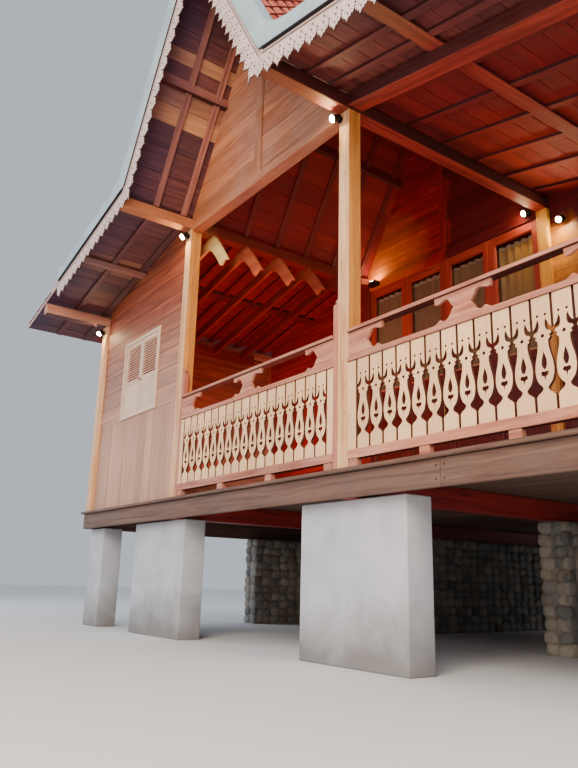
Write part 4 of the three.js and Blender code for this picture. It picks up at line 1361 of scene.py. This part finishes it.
class HOUSE_OT_masonry(bpy.types.Operator):
    """Whitewashed piers and cobbled base walls"""

    bl_idname = "house.masonry"
    bl_label = "Piers and base walls"

    # Depth of a cobble into the wall, its height as a part of its width, and its greatest turn in radians
    DEEP, SQUAT, TURN = 0.03, 0.72, 0.35
    # What a cobble's place strays by, and its radii, as parts of its space along the wall and upward
    STRAY, RADII = (0.14, 0.1), (0.53, 0.56)

    def execute(self, context):
        for side, _ in SIDES:
            for node in (f"{side}_corner_pier", f"{side}_middle_pier"):
                pier = copy_of(node, node + "_rendered")
                dress(pier, "Whitewashed render", node, bevel=0.012, segments=3, smooth=40)
        stone = context.scene.house_stone
        for number, place in enumerate(("left", "left_middle", "right_middle", "right")):
            name = f"{place}_base_wall"
            low, high = (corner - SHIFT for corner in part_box(name))
            inset = 0.025
            x, y = ((low[k] + inset, high[k] - inset) for k in (0, 1))
            core = Solids().block(x, y, (low.z, high.z))
            dress(core.shown(f"{name}_mortar"), "Lime mortar", name)
            self.cobbles(name, low, high, stone.size, stone.seed + number)
        return {"FINISHED"}

    def cobbles(self, name, low, high, size, seed):
        """Cobbles on a wall's four faces, by the axis that a face looks along and its lower or upper end."""
        pieces = []
        rise = high.z - low.z
        tall = max(2, round(rise / (size * self.SQUAT)))
        step_z = rise / tall
        for face, end in ((0, 0), (0, 1), (1, 0), (1, 1)):
            run = 1 - face
            count = max(2, round((high[run] - low[run]) / size))
            step = (high[run] - low[run]) / count
            start, across, move, radii, turn = ([0.0] * 3 for _ in range(5))
            start[face] = high[face] - self.DEEP if end else low[face] + self.DEEP
            start[run], start[2] = low[run] + step / 2, low.z + step_z / 2
            across[run] = step
            move[face], move[run], move[2] = 0.004, step * self.STRAY[0], step_z * self.STRAY[1]
            radii[face], radii[run], radii[2] = self.DEEP, step * self.RADII[0], step_z * self.RADII[1]
            turn[face] = self.TURN
            pieces.append(
                rows(
                    "cobbles", Solids().add(*pebble(radii)), "River cobble", across, count, start=start,
                    row_step=(0, 0, step_z), rows=tall, place=move, turn=turn, size=0.13, seed=seed * 4 + end,
                )
            )
        stones = joined(f"{name}_cobbles", pieces)
        # The cobbles keep inside the wall's box
        for vertex in stones.data.vertices:
            for k in range(3):
                vertex.co[k] = min(max(vertex.co[k], low[k]), high[k])
        dress(stones, "River cobble", smooth=60, seed=seed)


def pebble(radii):
    """A rounded lump of 42 points, squarer than a ball."""
    work = bmesh.new()
    bmesh.ops.create_icosphere(work, subdivisions=2, radius=1.0)
    points = []
    for vertex in work.verts:
        co = vertex.co.normalized()
        square = max(abs(co.x), abs(co.y), abs(co.z)) ** 0.35
        points.append(tuple(co[k] / square * radii[k] for k in range(3)))
    faces = [[vertex.index for vertex in face.verts] for face in work.faces]
    work.free()
    return points, faces


class HOUSE_OT_shutters(bpy.types.Operator):
    """Four pairs of louvred shutters in their frames"""

    bl_idname = "house.shutters"
    bl_label = "Shutters"

    def execute(self, context):
        turn = math.radians(90)
        side_y = INNER_Y * 1.5 + POST / 2
        places = {
            "front_window": (-2.55, POST / 2, 0),
            "left_window": (-OUTER_X, side_y, -turn),
            "right_window": (OUTER_X, side_y, turn),
            "rear_window": (0, DEPTH - POST / 2, 2 * turn),
        }
        for node, (x, y, angle) in places.items():
            self.window(node, Matrix.Translation((x, y, 1.09)) @ Matrix.Rotation(angle, 4, "Z"))
        return {"FINISHED"}

    def window(self, node, place):
        half, high, edge, stile, panel = 0.5, 1.01, 0.045, 0.042, 0.43
        inner, top = half - edge, high - edge
        frame_y, leaf_y = (-0.035, 0.035), (-0.018, 0.014)
        wood = Solids()
        for sign in (-1, 1):
            wood.block((sign * inner, sign * half), frame_y, (0, high))
            wood.block((sign * (inner - stile), sign * (inner - 0.001)), leaf_y, (edge, top))
            wood.block((sign * 0.0008, sign * stile), leaf_y, (edge, top))
            for low in (edge, panel, top - stile):
                wood.block((sign * stile, sign * (inner - stile)), leaf_y, (low, low + stile))
            boards = 3
            step = (inner - 2 * stile) / boards
            for n in range(boards):
                x = (stile + n * step + 0.0015, stile + (n + 1) * step - 0.0015)
                wood.block((sign * x[0], sign * x[1]), (-0.012, 0.006), (edge + stile, panel))
        for low in (0.0, top):
            wood.block((-inner, inner), frame_y, (low, low + edge))
        wood.turned(place)
        dress(wood.shown(f"{node}_frame"), "Shutter paint", node, bevel=0.003, seed=70)
        slats = []
        count = 14
        low = panel + stile
        step = (top - stile - low) / count
        section = ((-0.018, 0.002), (0.013, 0.018), (0.013, 0.028), (-0.018, 0.012))
        section = [(y, low + z) for y, z in section]
        for sign in (-1, 1):
            slat = Solids().side_plate(section, sorted((sign * stile, sign * (inner - stile))))
            piece = rows("slats", slat, "Shutter paint", (0, 0, step), count)
            piece.data.transform(place)
            slats.append(piece)
        dress(joined(f"{node}_slats", slats), "Shutter paint", seed=71)
        knob = Solids()
        for sign in (-1, 1):
            knob.rod((sign * 0.021, -0.018, 0.451), (sign * 0.021, -0.033, 0.451), 0.009, 10, 0.012)
        knob.turned(place)
        dress(knob.shown(f"{node}_knobs"), "Aged brass", smooth=40)


class HOUSE_OT_doors(bpy.types.Operator):
    """Folding leaves across the middle bay, boarded below and glazed above, with their curtains"""

    bl_idname = "house.doors"
    bl_label = "Veranda doors"

    def execute(self, context):
        half, high, stile, sill = MIDDLE_X - POST / 2 - 0.0003, 2.9997, 0.075, 1.57
        y = (INNER_Y + 0.025, INNER_Y + 0.07)
        wide = 2 * half / 4
        wood, panels, beads, handles = Solids(), Solids(), Solids(), Solids()
        for n in range(4):
            a, b = -half + n * wide, -half + (n + 1) * wide
            inner, gap = (a + stile, b - stile), 0.0015
            for x in ((a + gap, inner[0]), (inner[1], b - gap)):
                wood.block(x, y, (0.004, high))
            for z in ((0.004, 0.13), (0.76, 0.86), (1.47, sill), (high - 0.1, high)):
                wood.block(inner, y, z)
            for z in ((0.13, 0.76), (0.86, 1.47)):
                panels.block(inner, (y[0] + 0.014, y[1] - 0.012), z)
                raised = (z[0] + 0.03, z[1] - 0.03)
                panels.block((inner[0] + 0.03, inner[1] - 0.03), (y[0] + 0.005, y[1] - 0.013), raised)
            for x in ((inner[0], inner[0] + 0.014), (inner[1] - 0.014, inner[1])):
                panels.block(x, (y[0] + 0.006, y[1] - 0.012), (sill, high - 0.1))
            beads.block(inner, (y[0] - 0.012, y[0] + 0.002), (1.561, 1.577))
        leaves = wood.shown("veranda_door_leaves")
        dress(leaves, "Door teak", "veranda_doors", bevel=0.004, seed=80)
        dress(beads.shown("veranda_door_beads"), "Bleached teak", bevel=0.003, seed=82)
        dress(panels.shown("veranda_door_panels"), "Door teak", bevel=0.003, seed=81)
        dress(copy_of("veranda_glass", "veranda_glazing"), "Float glass", "veranda_glass")
        for x in (-0.045, 0.045):
            front = y[0] - 0.03
            handles.rod((x, front, 1.0), (x, front, 1.18), 0.008, 10)
            for z in (1.01, 1.17):
                handles.rod((x, y[0] + 0.002, z), (x, front, z), 0.007, 8)
        dress(handles.shown("veranda_door_pulls"), "Aged brass", smooth=40)
        for n in range(4):
            self.curtain(n, -half + n * wide, wide)
        return {"FINISHED"}

    def curtain(self, number, start, wide):
        """A gathered curtain on its rail: even folds at the top that wander lower down."""
        across, down = 84, 24
        low, high = 0.05, 2.875 + 0.01 * math.sin(number * 2.1)
        middle = INNER_Y + 0.1015
        points = []
        flat = 0.0
        for line in range(down + 1):
            v = line / down
            z = high - (high - low) * v
            for n in range(across + 1):
                u = n / across
                phase = 2 * math.pi * 6 * u + 0.8 * math.sin(3.1 * v + 5 * u + number)
                fold = (0.016 + 0.004 * v) * math.sin(phase)
                x = start + 0.02 + (wide - 0.04) * (u + 0.006 * v * math.sin(7 * u + number))
                points.append(Vector((x, middle + fold, z + 0.004 * math.cos(phase) * (1 - v) ** 6)))
            folds = points[-across - 1 :]
            flat = max(flat, sum((b - a).length for a, b in zip(folds, folds[1:])))
        row = across + 1
        corners = [line * row + n for line in range(down) for n in range(across)]
        faces = [(k, k + row, k + row + 1, k + 1) for k in corners]
        cloth = Solids().add(points, faces).shown(f"veranda_curtain_{number + 1}")
        thick = cloth.modifiers.new("thickness", "SOLIDIFY")
        thick.thickness = 0.0012
        thick.offset = 0.0
        settle(cloth)
        dress(cloth, "Cotton curtain", "veranda_curtain", direction=UP, smooth=70)


class HOUSE_OT_balustrades(bpy.types.Operator):
    """Pierced boards between rails, under a band of long cusped openings"""

    bl_idname = "house.balustrades"
    bl_label = "Balustrades"

    # Half the gap between two boards, and the spacing of the boards
    GAP = 0.009
    PITCH = 0.14

    def execute(self, context):
        middle = MIDDLE_X - POST / 2
        low, high = -middle + 0.048, middle - 0.048
        place = Matrix.Identity(4)
        self.panel("middle_balustrade", low, high, low + 0.08, self.pair(low, high), place, True)
        x = MIDDLE_X + POST / 2
        openings = [(x + 0.21 + n * 0.99, x + 0.21 + n * 0.99 + 0.85) for n in range(2)]
        self.panel("right_balustrade", x, OUTER_X - POST / 2, x + 0.1, openings, place)
        place = Matrix.Translation((OUTER_X + POST / 2, POST, 0)) @ Matrix.Rotation(math.radians(90), 4, "Z")
        span = INNER_Y - POST
        self.panel("right_side_balustrade", 0.0, span, 0.1, self.pair(0.0, span), place)
        return {"FINISHED"}

    def pair(self, low, high):
        """Two like openings with a gap of 140 mm between them, 210 mm from the ends."""
        long = (high - low - 0.42 - 0.14) / 2
        return [(low + 0.21, low + 0.21 + long), (high - 0.21 - long, high - 0.21)]

    def panel(self, node, low, high, joint, openings, place, newels=False):
        rails = Solids()
        rails.block((low, high), (-0.022, 0.062), (RAIL_UNDER, RAIL_TOP))
        rails.block((low, high), (-0.014, 0.046), (MID_UNDER, MID_TOP))
        rails.block((low, high), (-0.010, 0.050), (FOOT_UNDER, FOOT_TOP))
        for n in range(4):
            x = low + 0.06 + (high - low - 0.12) * n / 3
            rails.block((x - 0.045, x + 0.045), (-0.006, 0.046), (0.0005, FOOT_UNDER))
        if newels:
            for sign in (-1, 1):
                x = (sign * (MIDDLE_X - POST / 2 - 0.05), sign * (MIDDLE_X - POST / 2))
                rails.block(x, (-0.005, 0.055), (0.0005, 1.33))
                for foot, head, wide, narrow in ((1.33, 1.345, 0.014, 0.022), (1.345, 1.378, 0.0235, 0.012)):
                    rails.rod((sum(x) / 2, 0.025, foot), (sum(x) / 2, 0.025, head), wide, 12, narrow)
        rails.turned(place)
        rails_piece = rails.shown(f"{node}_rails")
        dress(rails_piece, "Bleached teak", node, bevel=0.006, segments=2, seed=90)
        # Painted shade on the rails' undersides
        two_tone(rails_piece, "Painted-shade timber", (0, 0, -1))
        foot, head = MID_TOP - 0.0005, RAIL_UNDER + 0.015
        ring = [(low, foot), (high, foot), (high, head), (low, head)]
        band = Solids().plate(ring, (0.002, 0.024), [self.cusped(a, b) for a, b in openings])
        band.turned(place)
        along, face = (place.to_3x3() @ Vector(way) for way in (ACROSS, BACK))
        dress(band.shown(f"{node}_band"), "Bleached teak", direction=along, seed=91)
        count = int((high - joint) / self.PITCH)
        boards = rows("boards", self.board(joint), "Cream oil paint", (self.PITCH, 0, 0), count)
        boards.data.transform(place)
        edges = Solids()
        for a, b in ((low, joint - self.GAP), (joint + self.PITCH * count + self.GAP, high)):
            if b - a > 0.02:
                edges.block((a, b), (0.0, 0.022), (FOOT_TOP - 0.001, MID_UNDER + 0.001))
        edges.turned(place)
        whole = joined(f"{node}_boards", [boards, edges.shown("fillers", "Cream oil paint")])
        # The boards' sawn edges take the dark edge colour, partly painted shade in the gaps
        dress(whole, "Cream oil paint", direction=UP, seed=92, face=face)

    def cusped(self, a, b):
        """A long opening whose ends have a curl above and below a pointed lobe."""
        end = [
            (0.172, 0.8575), (0.150, 0.866), (0.132, 0.879), (0.118, 0.884), (0.105, 0.877), (0.090, 0.868),
            (0.070, 0.870), (0.048, 0.882), (0.033, 0.900), (0.022, 0.922), (0.0, 0.946), (0.020, 0.968),
            (0.034, 0.992), (0.050, 1.012), (0.072, 1.019), (0.098, 1.013), (0.120, 1.004), (0.142, 1.000),
            (0.162, 1.003), (0.170, 1.054),
        ]
        return [(a + x, z) for x, z in end] + [(b - x, z) for x, z in end[::-1]]

    def board(self, joint):
        """One pierced baluster, from its foot up its right edge: vase, neck, arms and a square head."""
        middle = joint + self.PITCH / 2
        edge = self.PITCH / 2 - self.GAP
        half = [
            (edge, 0.129), (edge, 0.214), (0.050, 0.228), (0.030, 0.240), (0.017, 0.254), (0.016, 0.266),
            (0.026, 0.278), (0.040, 0.292), (0.051, 0.312), (0.058, 0.338), (0.061, 0.368), (0.059, 0.398),
            (0.053, 0.428), (0.045, 0.456), (0.038, 0.486), (0.034, 0.512), (0.034, 0.534), (0.038, 0.546),
            (0.047, 0.549), (0.049, 0.558), (0.042, 0.563), (0.045, 0.570), (0.055, 0.573), (0.058, 0.582),
            (0.052, 0.592), (0.041, 0.594), (0.030, 0.600), (0.0225, 0.612), (0.019, 0.630), (0.020, 0.650),
            (0.0255, 0.668), (0.0265, 0.678), (0.0290, 0.668), (0.036, 0.652), (0.043, 0.634), (0.053, 0.620),
            (edge, 0.614), (edge, 0.811),
        ]
        drop = mirrored([(0.013, 0.382), (0.019, 0.404), (0.016, 0.428), (0.008, 0.454)], (0, 0.476))
        moon = mirrored([(0.006, 0.330), (0.022, 0.335), (0.027, 0.349), (0.016, 0.361)], (0, 0.357))
        cuts = [[(0, 0.368)] + drop, [(0, 0.304)] + moon]
        for x, z, size in ((0, 0.569, 0.012), (0.0265, 0.694, 0.009), (-0.0265, 0.694, 0.009)):
            cuts.append(octagon(x, z, size))
        holes = [[(middle + x, z) for x, z in cut] for cut in cuts]
        return Solids().plate([(middle + x, z) for x, z in mirrored(half)], (0.0, 0.022), holes)


class HOUSE_OT_lamps(bpy.types.Operator):
    """Small spotlights on the posts and a floodlight on the inner beam"""

    bl_idname = "house.lamps"
    bl_label = "Lamps"

    # Where each spotlight is fixed, and the way it looks
    SPOTS = (
        ((-1.385, -0.001, 2.985), (-0.25, -1.0, -0.9)),
        ((1.340, -0.001, 3.005), (-0.35, -1.0, -0.6)),
        ((-OUTER_X - 0.01, -0.001, 2.455), (0.35, -1.0, -1.0)),
        ((1.245, INNER_Y - 0.001, 3.073), (-0.6, -1.0, -0.6)),
        ((1.61, INNER_Y + 0.044, 2.87), (-0.1, -1.0, -0.9)),
        ((OUTER_X + 0.01, -0.001, 2.455), (-0.35, -1.0, -1.0)),
    )
    FLOOD = (-1.19, INNER_Y - 0.04, 3.06)

    def execute(self, context):
        bodies, lenses = Solids(), Solids()
        for place, aim in self.SPOTS:
            place, aim = Vector(place), Vector(aim).normalized()
            head = place + Vector((0, -0.055, 0))
            bodies.rod(place + Vector((0, 0.002, 0)), place + Vector((0, -0.012, 0)), 0.03, 14)
            bodies.rod(place, head, 0.009, 8)
            bodies.rod(head - aim * 0.045, head + aim * 0.035, 0.022, 14, 0.034)
            for low, high, wide, narrow in ((0.0352, 0.042, 0.031, 0.028), (0.0422, 0.050, 0.0279, 0.018)):
                lenses.rod(head + aim * low, head + aim * high, wide, 14, narrow)
        x, y, z = Vector(self.FLOOD)
        bodies.block((x - 0.07, x + 0.07), (y - 0.04, y + 0.0395), (z - 0.03, z + 0.03))
        lenses.block((x - 0.02, x + 0.02), (y - 0.036, y - 0.01), (z + 0.0302, z + 0.0335))
        dress(bodies.shown("lamp_bodies"), "Blackened iron", smooth=40)
        dress(lenses.shown("lamp_lenses"), "Lit lamp lens", smooth=40)
        return {"FINISHED"}


class HOUSE_OT_stage(bpy.types.Operator):
    """Pale floor, soft studio light and the camera"""

    bl_idname = "house.stage"
    bl_label = "Stage"

    # Each softbox: its place, where it looks, its size, its share of the key light's power, and its colour
    PORCH_Y = FRONT_Y + 1.4
    LIGHTS = {
        "key": ((7.5, -13.0, 7.5), (0, -3, 2.6), 7.0, 1.0, "fff0de"),
        "fill": ((-11.0, -9.0, 5.0), (0, 0, 2.5), 8.0, 0.3, "e8f0ff"),
        "under": ((4.5, -9.0, 1.6), (-0.5, -3.5, 4.2), 1.1, 0.06, "ffdcb8"),
        "porch_1": ((-2.5, PORCH_Y, FLOOR_Z + 0.4), (-2.4, PORCH_Y, FLOOR_Z + 3.0), 1.5, 0.017, "ff6a48"),
        "porch_2": ((-0.9, PORCH_Y, FLOOR_Z + 0.4), (-0.8, PORCH_Y, FLOOR_Z + 3.0), 1.5, 0.017, "ff6a48"),
        "back": ((6.0, 14.0, 9.0), (0, 2, 2.5), 8.0, 0.6, "f4f6ff"),
    }
    # The camera's place off the right front corner, its turn and tilt in degrees, and its focal length and
    # picture width in pixels
    EYE = Vector((5.518, -3.444, -0.827))
    TURNS = (54.575, 15.313, 1.473)
    FOCAL, PICTURE = 726.2, 578

    def execute(self, context):
        settings = context.scene.house_stage
        self.floor_material(settings.floor)
        floor = Solids().block((-45, 45), (-45, 45), (-0.05, 0.0)).shown("studio_floor", "Studio paper")
        world = bpy.data.worlds.new("studio")
        world.use_nodes = True
        sky = {"Color": shade("dfe8f2"), "Strength": 0.75}
        wire(world.node_tree, world.node_tree.nodes["Background"], sky)
        context.scene.world = world
        for name, (place, aim, size, share, colour) in self.LIGHTS.items():
            self.light(name, place, aim, size, settings.key * share, colour)
        self.camera(context)
        return {"FINISHED"}

    def floor_material(self, colour):
        """Studio paper: even and matt."""
        tree, shader, place = blank("Studio paper")
        amount = mathed(tree, "MULTIPLY", noise(tree, place, 0.3, 2.0), 0.08)
        paper = mixed(tree, amount, (*colour, 1.0), shade("ffffff"))
        wire(tree, shader, {"Base Color": paper, "Roughness": 0.95})

    def light(self, name, place, aim, size, power, colour):
        lamp = bpy.data.lights.new(name, "AREA")
        lamp.size = size
        lamp.energy = power
        lamp.color = shade(colour)[:3]
        piece = bpy.data.objects.new(name, lamp)
        piece.location = place
        piece.rotation_euler = (Vector(aim) - Vector(place)).to_track_quat("-Z", "Y").to_euler()
        bpy.context.scene.collection.objects.link(piece)

    def camera(self, context):
        """A low camera off the right front corner, looking up and left along the veranda."""
        yaw, pitch, roll = (math.radians(angle) for angle in self.TURNS)
        ahead = Vector((-math.sin(yaw) * math.cos(pitch), math.cos(yaw) * math.cos(pitch), math.sin(pitch)))
        level = Vector((math.cos(yaw), math.sin(yaw), 0))
        upright = level.cross(ahead)
        right = level * math.cos(roll) + upright * math.sin(roll)
        up = upright * math.cos(roll) - level * math.sin(roll)
        lens = bpy.data.cameras.new("camera")
        lens.sensor_fit = "HORIZONTAL"
        lens.sensor_width = 36
        lens.lens = self.FOCAL / self.PICTURE * lens.sensor_width
        camera = bpy.data.objects.new("camera", lens)
        context.scene.collection.objects.link(camera)
        turn = Matrix((right, up, -ahead)).transposed().to_4x4()
        camera.matrix_world = Matrix.Translation(self.EYE + SHIFT) @ turn
        context.scene.camera = camera


class HOUSE_PT_panel(bpy.types.Panel):
    """Lists the pieces of the house and their sizes"""

    bl_idname = "HOUSE_PT_panel"
    bl_label = "Veranda House"
    bl_space_type = "VIEW_3D"
    bl_region_type = "UI"
    bl_category = "House"

    def draw(self, context):
        for group in GROUPS:
            settings = getattr(context.scene, group)
            box = self.layout.box()
            for prop in settings.bl_rna.properties:
                if prop.identifier not in ("rna_type", "name"):
                    box.prop(settings, prop.identifier)
        for operator in OPERATORS:
            self.layout.operator(operator.bl_idname)


GROUPS = {
    "house_roof": HouseRoof,
    "house_timber": HouseTimber,
    "house_stone": HouseStone,
    "house_stage": HouseStage,
}
OPERATORS = (
    HOUSE_OT_stage,
    HOUSE_OT_sheathing,
    HOUSE_OT_tiles,
    HOUSE_OT_copings,
    HOUSE_OT_lace,
    HOUSE_OT_walls,
    HOUSE_OT_timbers,
    HOUSE_OT_masonry,
    HOUSE_OT_shutters,
    HOUSE_OT_doors,
    HOUSE_OT_balustrades,
    HOUSE_OT_lamps,
)


def register():
    for group in GROUPS.values():
        bpy.utils.register_class(group)
    for name, group in GROUPS.items():
        setattr(bpy.types.Scene, name, PointerProperty(type=group))
    for operator in OPERATORS:
        bpy.utils.register_class(operator)
    bpy.utils.register_class(HOUSE_PT_panel)


def unregister():
    bpy.utils.unregister_class(HOUSE_PT_panel)
    for operator in reversed(OPERATORS):
        bpy.utils.unregister_class(operator)
    for name, group in GROUPS.items():
        delattr(bpy.types.Scene, name)
        bpy.utils.unregister_class(group)


def main():
    register()
    TREES["rows"] = rows_tree()
    TREES["boarding"] = boarding_tree()
    make_materials(bpy.context.scene.house_stage.glow)
    bpy.ops.house.stage()
    bpy.ops.house.sheathing()
    bpy.ops.house.tiles()
    bpy.ops.house.copings()
    bpy.ops.house.lace()
    bpy.ops.house.walls()
    bpy.ops.house.timbers()
    bpy.ops.house.masonry()
    bpy.ops.house.shutters()
    bpy.ops.house.doors()
    bpy.ops.house.balustrades()
    bpy.ops.house.lamps()
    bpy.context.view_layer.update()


if __name__ == "__main__":
    main()
